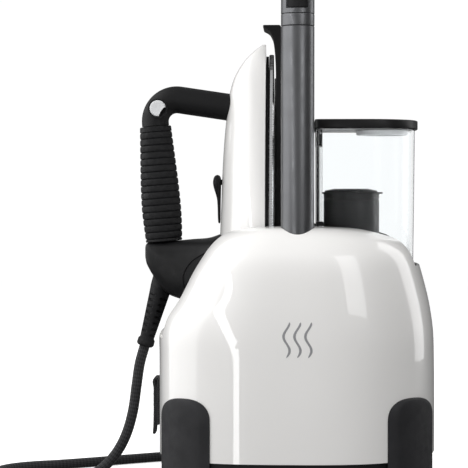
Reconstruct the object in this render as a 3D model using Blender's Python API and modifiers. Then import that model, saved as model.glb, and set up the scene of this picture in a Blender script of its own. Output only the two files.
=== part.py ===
"""Lift-type steam generator iron: a steam station with a docked iron and a lift-out water tank.

Run it with: blender --background --python part.py
Sizes are in millimetres and become metres in the mesh helpers. The floor is z = 0, the iron is on
the left (-x), the tank on the right (+x) and the front is -y. The carry handle's axis is x = 0 here,
and the station's empty moves the whole model so that its box is centred on the world's origin.
"""

import math

import bmesh
import bpy
from mathutils import Matrix, Vector

MM = 0.001
GAP = 0.3
STATION_X = 10.0

# Housing
SHELL_WALL = 2.5
SHELL_POWER_LEFT = 3.4
SHELL_POWER_RIGHT = 2.6
SHELL_SECTIONS = (            # height, reach to the left, reach to the right, half depth
    (33.2, 107.4, 107.0, 102.0),
    (72.0, 107.4, 107.0, 102.0),
    (108.0, 107.4, 106.6, 102.0),
    (125.0, 107.2, 106.0, 101.9),
    (138.0, 103.4, 104.4, 101.5),
    (152.0, 94.0, 101.8, 100.8),
    (173.0, 82.9, 96.3, 99.0),
    (184.0, 76.2, 92.6, 96.6),
    (192.0, 71.0, 88.0, 92.6),
    (199.0, 64.5, 79.5, 87.6),
    (203.5, 57.0, 66.0, 83.0),
    (206.0, 48.0, 52.0, 79.0),
    (207.6, 26.0, 26.0, 72.0),
)
SHELL_POINTS = 44
TRAY_BOTTOM = 6.0
TRAY_INSET = 1.6
FOOT_RADIUS = 9.0
FOOT_PLACES = ((-74, -68), (72, -68), (-74, 68), (72, 68))
PAD_THICKNESS = 3.0
PAD_BOTTOM = 7.0
PAD_TOP = 80.0
PAD_SPANS = {"left": (-103.0, -68.0), "right": (70.0, 103.0)}

# Dock of the iron, and the plate that the iron leans on
DOCK_OUTLINE = ((-130.0, 128.3), (-66.0, 114.0), (-10.9, 114.0), (-10.9, 240.0), (-130.0, 240.0))
DOCK_HALF = 58.0
LINER_WALL = 1.6
REST_HALF = 22.0

# Carry handle
POST_RADIUS = 12.5
POST_Y = 72.0
POST_FOOT = 150.0
POST_TOP = 356.8
COLLAR_TOP = 366.0
ARCH_HEIGHT = 415.5
ARCH_BEND = 40.0
INSET_HALF_ANGLE = math.radians(44)

# Water tank
TANK_LEFT = 14.4
TANK_RIGHT = 90.5
TANK_STRAIGHT = 46.0
TANK_HALF = 52.0
TANK_FLOOR = 98.0
TANK_TOP = 281.0
TANK_WALL = 1.8
BAY_FLOOR = 92.0
BAY_MARGIN = 1.2
LID_BOTTOM = 281.8
LID_TOP = 288.8
LID_AXIS = (15.9, 0.0, 279.3)
CARTRIDGE_X = 42.0
CARTRIDGE_RADIUS = 22.3

# Iron, standing on its heel with the sole facing right
COVER_RIGHT = -24.9
COVER_WALL = 2.2
COVER_TIP = 350.0
COVER_STATIONS = (            # height, depth of the cover from its open side
    (118.0, 26.0), (121.0, 31.5), (127.0, 34.6), (140.0, 36.0), (170.0, 36.3), (200.0, 36.1),
    (222.0, 35.2), (244.0, 34.5), (270.0, 33.1), (290.0, 31.3), (303.0, 29.6), (312.0, 28.4),
    (322.6, 25.3), (331.0, 20.9), (339.0, 15.0), (345.6, 7.9), (349.4, 2.6),
)
SOLE_HALF = 55.0
SOLE_HEEL = 119.0
SOLE_TIP = 342.0
SOLE_TAPER = 190.0
HEEL_ROUND = 14.0
ELBOW_RADIUS = 10.65
ELBOW_CORNERS = ((-46.0, 0, 299.0), (-114.1, 0, 309.2), (-112.2, 0, 285.5))
BUTTON_PLACE = (-109.6, 299.0)
BOSS_RADIUS = 7.6
BUTTON_RADIUS = 6.3
GRIP_STATIONS = (             # height, middle, width
    (285.0, -112.3, 24.5), (272.0, -111.4, 26.2), (254.0, -110.1, 28.4), (236.0, -108.8, 30.3),
    (219.0, -107.5, 31.0), (205.0, -106.3, 30.0), (194.7, -105.6, 28.6),
)
GRIP_SLOPE = 0.084
HEEL_STATIONS = (             # x, lowest, highest, half width
    (-119.8, 180.5, 191.6, 9.0), (-118.6, 176.0, 193.1, 12.5), (-112.5, 165.5, 193.6, 15.5),
    (-104.0, 154.5, 194.3, 17.0), (-94.4, 149.7, 195.1, 18.5), (-82.0, 147.3, 196.2, 21.5),
    (-70.0, 146.2, 197.2, 26.0), (-62.0, 146.0, 199.8, 30.0), (-54.0, 146.0, 203.0, 33.0),
)
BOOT_ROOT = Vector((-107.8, 0.0, 158.8))
BOOT_DIRECTION = Vector((-0.269, 0.0, -0.963)).normalized()
BOOT_LENGTH = 49.1
LEVER_AXIS = (-62.0, 0.0, 241.0)

# Steam hose: it hangs from the iron, turns on the floor and goes behind the station
HOSE_RADIUS = 4.1
HOSE_RUN = (
    (-121.2, 0, 111.2), (-125.1, 0, 97.0), (-127.6, -0.3, 80.0), (-130.4, -0.8, 60.0),
    (-135.6, -1.6, 41.5), (-143.6, -2.8, 26.4), (-155.4, -4.6, 13.8), (-171.0, -6.8, 6.2),
    (-190.0, -8.6, 4.3), (-211.0, -7.6, 4.3), (-231.0, 1.0, 4.3), (-243.6, 18.0, 4.3),
    (-245.6, 37.5, 4.3), (-237.0, 55.5, 4.3), (-221.0, 67.6, 4.3), (-199.0, 77.0, 4.3),
    (-172.0, 91.5, 4.3), (-145.0, 107.6, 4.3), (-119.0, 122.0, 4.3), (-98.0, 131.6, 4.3),
    (-80.0, 137.0, 4.3),
)
HOSE_TAIL = ((-72.3, 147.0, 30.9), (-70.6, 140.1, 35.2), (-69.0, 133.8, 39.4), (-67.5, 127.8, 41.6))
HOSE_SPACING = 18.0
COIL_CENTRE = (-34.5, 181.5)
COIL_INNER = 36.6
COIL_OUTER = 53.8
COIL_BOTTOM = 1.2
COIL_TOP = 25.8
GLAND_WALL = Vector((-60.0, 97.8, 42.0))
GLAND_DIRECTION = Vector((-0.242, 0.970, 0.0)).normalized()
GLAND_LENGTH = 29.0

# Looks: base colour, roughness, metallic, and transmission of a clear part
WHITE = ((0.86, 0.86, 0.84), 0.25, 0.0, 0.0)
BLACK = ((0.012, 0.012, 0.013), 0.4, 0.0, 0.0)
CHARCOAL = ((0.045, 0.045, 0.048), 0.6, 0.0, 0.0)
ANTHRACITE = ((0.035, 0.035, 0.038), 0.3, 0.2, 0.0)
SATIN_BLACK = ((0.018, 0.018, 0.02), 0.35, 0.0, 0.0)
RUBBER = ((0.015, 0.015, 0.015), 0.75, 0.0, 0.0)
WOVEN = ((0.02, 0.02, 0.021), 0.9, 0.0, 0.0)
ALUMINIUM = ((0.7, 0.71, 0.72), 0.3, 1.0, 0.0)
STEEL = ((0.55, 0.56, 0.57), 0.28, 1.0, 0.0)
BRASS = ((0.72, 0.5, 0.2), 0.35, 1.0, 0.0)
BOARD_GREEN = ((0.03, 0.16, 0.06), 0.5, 0.0, 0.0)
LIGHT_GREY = ((0.62, 0.63, 0.64), 0.35, 0.0, 0.0)
CLEAR = ((0.9, 0.93, 0.95), 0.05, 0.0, 0.9)
SILICONE = ((0.05, 0.05, 0.05), 0.7, 0.0, 0.0)

# Joint axes: the empty of each moving body stands on its joint
BODY_PLACES = {
    "root": (0.0, 0.0, 0.0),
    "iron": (-61.0, 0.0, 120.0),
    "steam_button_front": (BUTTON_PLACE[0], -12.8, BUTTON_PLACE[1]),
    "steam_button_rear": (BUTTON_PLACE[0], 12.8, BUTTON_PLACE[1]),
    "thermostat": LEVER_AXIS,
    "tank": (52.0, 0.0, TANK_FLOOR),
    "lid": LID_AXIS,
    "cartridge": (CARTRIDGE_X, 0.0, 112.0),
    "power_button": (34.0, 101.8, 120.0),
}
BODY_PARENTS = {
    "iron": "root", "steam_button_front": "iron", "steam_button_rear": "iron", "thermostat": "iron",
    "tank": "root", "lid": "tank", "cartridge": "tank", "power_button": "root",
}


# ---------------------------------------------------------------- scene and object helpers

def clear_scene():
    """Remove every object that the file starts with."""
    for old in list(bpy.data.objects):
        bpy.data.objects.remove(old, do_unlink=True)


def new_collection(name):
    """Make a collection in the scene."""
    collection = bpy.data.collections.new(name)
    bpy.context.scene.collection.children.link(collection)
    return collection


clear_scene()
PARTS = new_collection("steam_generator_iron")
CUTTERS = new_collection("cutters")
BODIES = {}


def add_bodies():
    """Make one empty for each body, parented in the order in which the bodies carry each other."""
    for name, place in BODY_PLACES.items():
        empty = bpy.data.objects.new("axis_" + name, None)
        PARTS.objects.link(empty)
        parent = BODY_PARENTS.get(name)
        local = Vector(place)
        if parent is None:
            local = local + Vector((STATION_X, 0.0, 0.0))
        else:
            empty.parent = BODIES[parent]
            local = local - Vector(BODY_PLACES[parent])
        empty.location = local * MM
        BODIES[name] = empty


def hang_on(piece, body):
    """Parent a piece to a body's empty without moving it."""
    piece.parent = BODIES[body]
    piece.location = piece.location - Vector(BODY_PLACES[body]) * MM
    return piece


def paint(piece, look):
    """Give a piece its own material."""
    colour, roughness, metallic, transmission = look
    material = bpy.data.materials.new(piece.name)
    material.use_nodes = True
    shader = material.node_tree.nodes["Principled BSDF"]
    shader.inputs["Base Color"].default_value = (*colour, 1.0)
    shader.inputs["Roughness"].default_value = roughness
    shader.inputs["Metallic"].default_value = metallic
    shader.inputs["Transmission Weight"].default_value = transmission
    piece.data.materials.append(material)


def finish(piece, body, look):
    """Put a finished piece on its body, with its look."""
    paint(piece, look)
    return hang_on(piece, body)


def object_from(name, mesh, collection=PARTS):
    """Make an object of a mesh, shaded smooth except at its sharp edges."""
    if mesh.polygons:
        mesh.shade_smooth()
        mesh.set_sharp_from_angle(angle=math.radians(35))
    piece = bpy.data.objects.new(name, mesh)
    collection.objects.link(piece)
    return piece


def mesh_from(name, work):
    """Turn a bmesh into a mesh."""
    mesh = bpy.data.meshes.new(name)
    work.to_mesh(mesh)
    work.free()
    return mesh


def as_cutter(piece):
    """Make a piece a hidden cutter that stands still with the station."""
    PARTS.objects.unlink(piece)
    CUTTERS.objects.link(piece)
    piece.hide_render = True
    piece.display_type = "WIRE"
    return hang_on(piece, "root")


def combine(piece, cutter, operation="DIFFERENCE"):
    """Cut or join a piece with another by an exact Boolean."""
    step = piece.modifiers.new(operation.lower(), "BOOLEAN")
    step.operation = operation
    step.solver = "EXACT"
    step.object = cutter
    return piece


def bevel(piece, width, segments=2, angle=40):
    """Round a piece's sharp edges."""
    step = piece.modifiers.new("rounded_edges", "BEVEL")
    step.width = width * MM
    step.segments = segments
    step.limit_method = "ANGLE"
    step.angle_limit = math.radians(angle)
    return piece


# ---------------------------------------------------------------- shape helpers

def signed_power(value, power):
    """A power that keeps the sign of its base."""
    return math.copysign(abs(value) ** power, value)


def turn_to(direction):
    """The rotation that points the z axis along a direction."""
    return Vector(direction).to_track_quat("Z", "Y").to_matrix().to_4x4()


def box(name, low, high):
    """A block between two corners."""
    low = Vector(low) * MM
    high = Vector(high) * MM
    size = high - low
    matrix = Matrix.Translation((low + high) / 2) @ Matrix.Diagonal((*size, 1.0))
    work = bmesh.new()
    bmesh.ops.create_cube(work, size=1.0, matrix=matrix)
    return object_from(name, mesh_from(name, work))


def rod_mesh(name, rods, sides=24):
    """Straight round rods in one mesh, each given by its two ends and its radius."""
    work = bmesh.new()
    for start, end, radius in rods:
        start = Vector(start) * MM
        end = Vector(end) * MM
        matrix = Matrix.Translation((start + end) / 2) @ turn_to(end - start)
        bmesh.ops.create_cone(work, cap_ends=True, segments=sides, radius1=radius * MM,
                              radius2=radius * MM, depth=(end - start).length, matrix=matrix)
    return mesh_from(name, work)


def rod(name, start, end, radius, sides=24):
    """One straight round rod."""
    return object_from(name, rod_mesh(name, ((start, end, radius),), sides))


def rods(name, group, sides=24):
    """A group of separate rods in one object."""
    return object_from(name, rod_mesh(name, group, sides))


def turned(name, profile, place, direction=(0, 0, 1), closed=False, steps=28):
    """A turned solid: (radius, height) points that run down its outer side."""
    mesh = bpy.data.meshes.new(name)
    points = [(radius * MM, 0.0, height * MM) for radius, height in profile]
    edges = [(i, i + 1) for i in range(len(points) - 1)]
    if closed:
        edges.append((len(points) - 1, 0))
    mesh.from_pydata(points, edges, [])
    piece = object_from(name, mesh)
    spin = piece.modifiers.new("spin", "SCREW")
    spin.steps = steps
    spin.render_steps = steps
    spin.use_merge_vertices = True
    spin.merge_threshold = 0.00001
    spin.use_smooth_shade = True
    piece.rotation_euler = turn_to(direction).to_euler()
    piece.location = Vector(place) * MM
    return piece


def loft(name, rings, closed_bottom=True, closed_top=True):
    """A skin through rings of equally many points."""
    work = bmesh.new()
    loops = [[work.verts.new(Vector(point) * MM) for point in ring] for ring in rings]
    for lower, upper in zip(loops, loops[1:]):
        for i, corner in enumerate(lower):
            j = (i + 1) % len(lower)
            work.faces.new((corner, lower[j], upper[j], upper[i]))
    if closed_bottom:
        work.faces.new(list(reversed(loops[0])))
    if closed_top:
        work.faces.new(loops[-1])
    if closed_bottom and closed_top:
        bmesh.ops.recalc_face_normals(work, faces=work.faces)
    return object_from(name, mesh_from(name, work))


def thicken(piece, wall):
    """Give an open skin a wall on its inner side."""
    step = piece.modifiers.new("wall", "SOLIDIFY")
    step.thickness = wall * MM
    step.offset = -1.0
    step.use_even_offset = True
    return piece


def mesh_of_curve(piece):
    """Replace a curve object by a closed mesh object of the same shape."""
    bpy.context.view_layer.update()
    depsgraph = bpy.context.evaluated_depsgraph_get()
    mesh = bpy.data.meshes.new_from_object(piece.evaluated_get(depsgraph))
    work = bmesh.new()
    work.from_mesh(mesh)
    bmesh.ops.remove_doubles(work, verts=work.verts, dist=0.00001)
    bmesh.ops.recalc_face_normals(work, faces=work.faces)
    work.to_mesh(mesh)
    work.free()
    mesh.transform(piece.matrix_world)
    name = piece.name
    bpy.data.objects.remove(piece, do_unlink=True)
    return object_from(name, mesh)


def prism(name, outline, axis, low, high):
    """A flat outline made solid along an axis: (x, y) on z, (x, z) on y, or (y, z) on x."""
    curve = bpy.data.curves.new(name, "CURVE")
    curve.dimensions = "2D"
    curve.fill_mode = "BOTH"
    curve.extrude = (high - low) / 2 * MM
    spline = curve.splines.new("POLY")
    spline.points.add(len(outline) - 1)
    for point, (u, v) in zip(spline.points, outline):
        point.co = (u * MM, v * MM, 0.0, 1.0)
    spline.use_cyclic_u = True
    flat = bpy.data.objects.new(name, curve)
    PARTS.objects.link(flat)
    middle = (low + high) / 2 * MM
    quarter = math.pi / 2
    turns = {"z": (0, 0, 0), "y": (quarter, 0, 0), "x": (quarter, 0, quarter)}
    places = {"z": (0, 0, middle), "y": (0, middle, 0), "x": (middle, 0, 0)}
    flat.rotation_euler = turns[axis]
    flat.location = places[axis]
    return mesh_of_curve(flat)


def tube(name, points, radius, resolution=3):
    """A round tube along points, with filled ends."""
    curve = bpy.data.curves.new(name, "CURVE")
    curve.dimensions = "3D"
    curve.bevel_depth = radius * MM
    curve.bevel_resolution = resolution
    curve.use_fill_caps = True
    spline = curve.splines.new("POLY")
    spline.points.add(len(points) - 1)
    for point, place in zip(spline.points, points):
        point.co = (*(Vector(place) * MM), 1.0)
    piece = bpy.data.objects.new(name, curve)
    PARTS.objects.link(piece)
    return piece


def rounded_path(corners, radius, steps=5):
    """A path of straight runs whose inner corners are arcs."""
    corners = [Vector(corner) for corner in corners]
    path = [corners[0]]
    for before, corner, after in zip(corners, corners[1:], corners[2:]):
        back = (before - corner).normalized()
        ahead = (after - corner).normalized()
        half = back.angle(ahead) / 2
        centre = corner + (back + ahead).normalized() * radius / math.sin(half)
        first = corner + back * radius / math.tan(half) - centre
        last = corner + ahead * radius / math.tan(half) - centre
        path.extend(centre + first.slerp(last, i / steps) * radius for i in range(steps + 1))
    path.append(corners[-1])
    return path


def smooth_path(points, spacing):
    """A smooth curve through points, read at about even steps."""
    points = [Vector(point) for point in points]
    ends = [points[0] * 2 - points[1], *points, points[-1] * 2 - points[-2]]
    path = [points[0]]
    for a, b, c, d in zip(ends, ends[1:], ends[2:], ends[3:]):
        count = max(1, round((c - b).length / spacing))
        for i in range(1, count + 1):
            t = i / count
            path.append(((b * 2) + (c - a) * t + (a * 2 - b * 5 + c * 4 - d) * t * t
                         + (b * 3 - a - c * 3 + d) * t ** 3) / 2)
    return path


def swept(name, path, outline):
    """An outline of (across, outward) points carried along a path in the y-z plane."""
    rings = []
    for i, place in enumerate(path):
        ahead = (path[min(i + 1, len(path) - 1)] - path[max(i - 1, 0)]).normalized()
        outward = Vector((0.0, -ahead.z, ahead.y))
        rings.append([place + Vector((u, 0.0, 0.0)) + outward * v for u, v in outline])
    return loft(name, rings)


def oval_ring(centre, half_x, half_y, height, count=16, power=2.0, slope=0.0):
    """A ring of points round an upright piece; slope lifts its right side."""
    ring = []
    for i in range(count):
        angle = 2 * math.pi * i / count
        x = half_x * signed_power(math.cos(angle), 2 / power)
        y = half_y * signed_power(math.sin(angle), 2 / power)
        ring.append((centre + x, y, height + x * slope))
    return ring


# ---------------------------------------------------------------- outlines of the big pieces

def shell_ring(section, grow=0.0):
    """One level ring of the housing, grown outwards by a margin."""
    height, left, right, depth = section
    ring = []
    for i in range(SHELL_POINTS):
        angle = 2 * math.pi * (i + 0.5) / SHELL_POINTS
        cosine = math.cos(angle)
        if cosine < 0:
            reach, power = left, SHELL_POWER_LEFT
        else:
            reach, power = right, SHELL_POWER_RIGHT
        x = (reach + grow) * signed_power(cosine, 2 / power)
        y = (depth + grow) * signed_power(math.sin(angle), 2 / power)
        ring.append((x, y, height))
    return ring


def shell_rings(grow=0.0):
    """All rings of the housing, grown outwards and upwards by a margin."""
    rings = [shell_ring(section, grow) for section in SHELL_SECTIONS]
    rings[-1] = [(x, y, z + grow) for x, y, z in rings[-1]]
    return rings


def tank_outline(grow, right_grow=0.0):
    """The tank's plan: straight along the bridge, and round at its right end."""
    half = TANK_HALF + grow
    reach = TANK_RIGHT + grow + right_grow - TANK_STRAIGHT
    left = TANK_LEFT - grow
    outline = [(left, half - 4), (left, -half + 4), (left + 4, -half)]
    for i in range(19):
        angle = math.pi * (i / 18 - 0.5)
        x = TANK_STRAIGHT + reach * signed_power(math.cos(angle), 2 / 2.4)
        outline.append((x, half * signed_power(math.sin(angle), 2 / 2.4)))
    outline.append((left + 4, half))
    return outline


def sole_half_width(height, tip):
    """Half the width of the iron at a height; it narrows to the tip and is rounded at the heel."""
    reach = min(max(tip - height, 0.0) / SOLE_TAPER, 1.0)
    half = SOLE_HALF * math.sin(math.pi / 2 * reach) ** 0.75
    below = max(SOLE_HEEL - 1 + HEEL_ROUND - height, 0.0)
    return half - HEEL_ROUND + math.sqrt(max(HEEL_ROUND ** 2 - below ** 2, 0.0))


def sole_outline(inset):
    """The iron's outline seen from its sole, as (y, z) points."""
    heel = SOLE_HEEL + inset
    rise = SOLE_TIP - inset * 1.6 - heel
    shares = (0.0, 0.01, 0.025, 0.06, 0.15, 0.3, 0.45, 0.58, 0.7, 0.8, 0.88, 0.94, 0.98)
    heights = [heel + rise * share for share in shares]
    right = [(sole_half_width(z, SOLE_TIP) - inset, z) for z in heights]
    right = [(y, z) for y, z in right if y > 0.5]
    left = [(-y, z) for y, z in reversed(right)]
    return right + [(0.0, heel + rise)] + left


def cover_rings(grow=0.0, open_side=0.0):
    """Rings of the iron's cover: a flat open side on the right and a dome on the left."""
    rings = []
    right = COVER_RIGHT + max(grow, 0.0) + open_side
    for height, depth in COVER_STATIONS:
        half = sole_half_width(height, COVER_TIP) + grow
        reach = depth + grow
        if half < 0.6 or reach < 0.6:
            continue
        ring = [(right, half, height)]
        for i in range(13):
            angle = math.pi * i / 12
            x = COVER_RIGHT - reach * signed_power(math.sin(angle), 2 / 2.2)
            ring.append((x, half * signed_power(math.cos(angle), 2 / 2.2), height))
        ring.append((right, -half, height))
        rings.append(ring)
    rings[0] = [(x, y, z - grow) for x, y, z in rings[0]]
    rings[-1] = [(x, y, z + grow) for x, y, z in rings[-1]]
    return rings


# ---------------------------------------------------------------- housing

def dock_prism(name, margin):
    """The space of the dock, shrunk by a margin on its floor and sides."""
    outline = [
        (DOCK_OUTLINE[0][0], DOCK_OUTLINE[0][1] + margin),
        (DOCK_OUTLINE[1][0], DOCK_OUTLINE[1][1] + margin),
        (DOCK_OUTLINE[2][0] - margin, DOCK_OUTLINE[2][1] + margin),
        (DOCK_OUTLINE[3][0] - margin, DOCK_OUTLINE[3][1]),
        DOCK_OUTLINE[4],
    ]
    return prism(name, outline, "y", -DOCK_HALF + margin, DOCK_HALF - margin)


def bay_prism(name, grow, floor):
    """The space of the tank bay, from a floor upwards."""
    return prism(name, tank_outline(BAY_MARGIN + grow), "z", floor, 240.0)


def housing_solid(name, grow):
    """The whole housing as one solid, for trimming the pieces that follow its surface."""
    return as_cutter(loft(name, shell_rings(grow)))


def add_body_shell():
    """White shell: a thin dome with the dock, the tank bay and the openings cut out of it."""
    shell = thicken(loft("body_shell", shell_rings(), closed_bottom=False), SHELL_WALL)
    combine(shell, as_cutter(dock_prism("dock_cutter", 0.0)))
    combine(shell, as_cutter(bay_prism("bay_cutter", LINER_WALL + GAP, BAY_FLOOR - GAP)))
    combine(shell, as_cutter(box("notch_cutter", (72, -46, 177), (125, 46, 240))))
    posts = [((0, side * POST_Y, 140), (0, side * POST_Y, 240), POST_RADIUS + GAP) for side in (-1, 1)]
    posts.append(((34, 85, 120), (34, 115, 120), 8.4))
    holes = object_from("shell_holes", rod_mesh("shell_holes", posts, 28))
    combine(shell, as_cutter(holes))
    finish(shell, "root", WHITE)


def add_dock_liner(skin):
    """Black liner of the dock, flush with the housing."""
    liner = dock_prism("iron_dock_liner", GAP)
    combine(liner, skin, "INTERSECT")
    combine(liner, as_cutter(dock_prism("dock_liner_hollow", GAP + LINER_WALL)))
    finish(liner, "root", BLACK)


def add_bay_liner(skin):
    """Black liner of the tank bay, with the hole for the valve socket."""
    liner = bay_prism("tank_bay_liner", LINER_WALL, BAY_FLOOR)
    combine(liner, skin, "INTERSECT")
    combine(liner, as_cutter(bay_prism("bay_liner_hollow", 0.0, BAY_FLOOR + LINER_WALL)))
    combine(liner, as_cutter(box("bay_notch_cutter", (72, -44.5, 175.5), (125, 44.5, 240))))
    combine(liner, as_cutter(rod("socket_hole", (52, 0, 85), (52, 0, 96), 9.3)))
    finish(liner, "root", BLACK)


def add_base_tray():
    """Black base: an open tray under the shell."""
    section = SHELL_SECTIONS[0][1:]
    rings = [shell_ring((TRAY_BOTTOM, *section), -TRAY_INSET - 5.0),
             shell_ring((TRAY_BOTTOM + 5.0, *section), -TRAY_INSET),
             shell_ring((SHELL_SECTIONS[0][0] - GAP, *section), -TRAY_INSET)]
    tray = thicken(loft("base_tray", rings, closed_top=False), 2.2)
    finish(tray, "root", BLACK)


def add_corner_pads():
    """Four matte pads that follow the housing's corners."""
    sections = [(PAD_BOTTOM - 4, *SHELL_SECTIONS[0][1:]), *SHELL_SECTIONS[:4]]
    rings = [shell_ring(section, GAP + PAD_THICKNESS) for section in sections]
    band = thicken(loft("pad_band", rings, closed_bottom=False, closed_top=False), PAD_THICKNESS)
    as_cutter(band)
    for side, (low, high) in PAD_SPANS.items():
        middle = (low + high) / 2
        radius = (high - low) / 2
        outline = [(low, PAD_BOTTOM), (high, PAD_BOTTOM)]
        for i in range(11):
            angle = math.pi * i / 10
            outline.append((middle + radius * math.cos(angle), PAD_TOP - radius + radius * math.sin(angle)))
        for end, near, far in (("front", -112.0, -30.0), ("rear", 30.0, 112.0)):
            pad = prism(f"corner_pad_{end}_{side}", outline, "y", near, far)
            combine(pad, band, "INTERSECT")
            finish(pad, "root", CHARCOAL)


def add_feet():
    """Four rubber feet under the tray."""
    for name, (x, y) in zip(("front_left", "front_right", "rear_left", "rear_right"), FOOT_PLACES):
        profile = ((0, TRAY_BOTTOM - GAP), (FOOT_RADIUS, TRAY_BOTTOM - GAP), (FOOT_RADIUS, 1.0),
                   (FOOT_RADIUS - 1.0, 0), (0, 0))
        finish(turned(f"rubber_foot_{name}", profile, (x, y, 0)), "root", RUBBER)


# ---------------------------------------------------------------- carry handle and rest plate

def add_handle():
    """Two posts, two collars and the arch between them, with its soft inset."""
    for name, side in (("front", -1), ("rear", 1)):
        y = side * POST_Y
        post = rod(f"handle_post_{name}", (0, y, POST_FOOT), (0, y, POST_TOP), POST_RADIUS, 28)
        finish(bevel(post, 0.8, 1), "root", ANTHRACITE)
        collar = rod(f"handle_collar_{name}", (0, y, POST_TOP + GAP), (0, y, COLLAR_TOP), POST_RADIUS, 28)
        finish(bevel(collar, 0.8, 1), "root", ANTHRACITE)
    foot = COLLAR_TOP + GAP
    corners = ((0, -POST_Y, foot), (0, -POST_Y, ARCH_HEIGHT), (0, POST_Y, ARCH_HEIGHT), (0, POST_Y, foot))
    path = rounded_path(corners, ARCH_BEND, 8)
    arch = mesh_of_curve(tube("handle_arch", path, POST_RADIUS, 5))
    inner = rounded_path([(x, y, max(z, foot + 3.5)) for x, y, z in corners], ARCH_BEND, 8)
    groove = swept("inset_groove", inner, inset_outline(POST_RADIUS + 3.0, INSET_HALF_ANGLE, 7.4))
    combine(arch, as_cutter(groove))
    finish(arch, "root", ANTHRACITE)
    inner[0] = inner[0] + Vector((0, 0, GAP))
    inner[-1] = inner[-1] + Vector((0, 0, GAP))
    angle = INSET_HALF_ANGLE - GAP / POST_RADIUS * 1.6
    inset = swept("handle_inset", inner, inset_outline(POST_RADIUS - 0.8, angle, 7.4 + GAP))
    finish(inset, "root", RUBBER)


def inset_outline(radius, half_angle, base):
    """Section of the inset: an arc on its outer side and a flat base."""
    half = min(radius, POST_RADIUS) * math.sin(half_angle)
    outline = [(half, base)]
    for i in range(9):
        angle = half_angle * (1 - i / 4)
        outline.append((half * math.sin(angle) / math.sin(half_angle), radius * math.cos(angle)))
    outline.append((-half, base))
    return outline


def add_rest_plate():
    """Dark plate that carries the sole, with a hook over the iron's tip."""
    outline = [(-13.0, 184.0), (-13.0, 363.0), (-26.2, 363.0), (-27.0, 362.2), (-26.6, 361.2),
               (-23.5, 359.6), (-20.6, 356.0), (-18.8, 350.0), (-17.6, 340.0), (-17.0, 325.0), (-17.0, 184.0)]
    plate = prism("iron_rest_plate", outline, "y", -REST_HALF, REST_HALF)
    finish(plate, "root", SATIN_BLACK)


def add_strap():
    """Woven strap folded to a loop on the left side of the housing."""
    outline = [(-114.3, 42.7), (-114.3, 86.0), (-113.4, 88.4), (-111.4, 89.4), (-109.4, 88.4), (-108.5, 86.0),
               (-108.5, 49.8), (-110.1, 49.8), (-110.1, 83.0), (-110.5, 86.0), (-111.4, 87.4), (-112.3, 86.0),
               (-112.5, 83.0), (-112.5, 42.7)]
    strap = prism("hose_strap", outline, "y", -10.0, 10.0)
    finish(strap, "root", WOVEN)


# ---------------------------------------------------------------- inside the housing

def add_boiler():
    """Boiler in two halves with its clamp ring, element, valve and switch."""
    place = (-40, 0, 0)
    lower = ((0, 22), (39, 22), (47, 31), (47, 57.8), (53, 57.8), (53, 55.8), (49, 55.8), (49, 30),
             (40, 20), (0, 20))
    finish(turned("boiler_lower", lower, place, steps=32), "root", STEEL)
    upper = ((0, 92), (30, 92), (44, 86), (49, 74), (49, 60.2), (53, 60.2), (53, 58.2), (47, 58.2),
             (47, 73), (42, 84.6), (29, 90), (0, 90))
    finish(turned("boiler_upper", upper, place, steps=32), "root", STEEL)
    clamp = ((54.6, 62.2), (54.6, 53.8), (50, 53.8), (50, 55.4), (53.4, 55.4), (53.4, 60.6),
             (50, 60.6), (50, 62.2))
    finish(turned("boiler_clamp", clamp, place, closed=True, steps=32), "root", STEEL)
    bpy.ops.mesh.primitive_torus_add(major_radius=30 * MM, minor_radius=3.5 * MM, major_segments=32,
                                     minor_segments=8, location=Vector((-40, 0, 28)) * MM)
    element = bpy.context.active_object
    element.name = "heating_element"
    bpy.context.collection.objects.unlink(element)
    PARTS.objects.link(element)
    element.data.shade_smooth()
    finish(element, "root", STEEL)
    valve = ((0, 109), (4, 109), (4, 104), (7, 104), (7, 97), (5, 97), (5, 92.4), (0, 92.4))
    finish(turned("safety_valve", valve, (-56, 0, 0), steps=16), "root", BRASS)
    switch = ((0, 107), (8, 107), (8, 98), (4, 98), (4, 92.4), (0, 92.4))
    finish(turned("pressure_switch", switch, (-28, 14, 0), steps=16), "root", BLACK)


def add_water_side():
    """Pump, solenoid, pipes and the socket that opens the tank's valve."""
    pump = rod("water_pump", (38, -30, 30), (84, -30, 30), 15.0)
    foot = as_cutter(box("pump_foot", (46, -44, 9), (76, -16, 26)))
    finish(combine(pump, foot, "UNION"), "root", CHARCOAL)
    coil = box("steam_solenoid", (40, 22, 9), (66, 50, 40))
    stem = as_cutter(rod("solenoid_stem", (53, 36, 36), (53, 36, 58), 7.0))
    finish(combine(coil, stem, "UNION"), "root", BRASS)
    board = prism("control_board", ((-46, 40), (46, 40), (46, 108), (-46, 108)), "y", 80.0, 81.6)
    finish(board, "root", BOARD_GREEN)
    feed = rounded_path(((37.6, -30, 30), (24, -30, 30), (24, -30, 76), (0.6, -30, 76)), 7)
    finish(tube("feed_pipe", feed, 2.5, 2), "root", SILICONE)
    steam = rounded_path(((-30, -14, 92.6), (-30, -14, 102), (6, 36, 102), (6, 36, 70), (53, 36, 70),
                          (53, 36, 58.4)), 5)
    finish(tube("steam_pipe", steam, 2.5, 2), "root", STEEL)
    socket = ((0, 79), (7, 79), (7, 96), (9, 96), (9, 76), (0, 76))
    finish(turned("valve_socket", socket, (52, 0, 0), steps=20), "root", BLACK)


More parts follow.
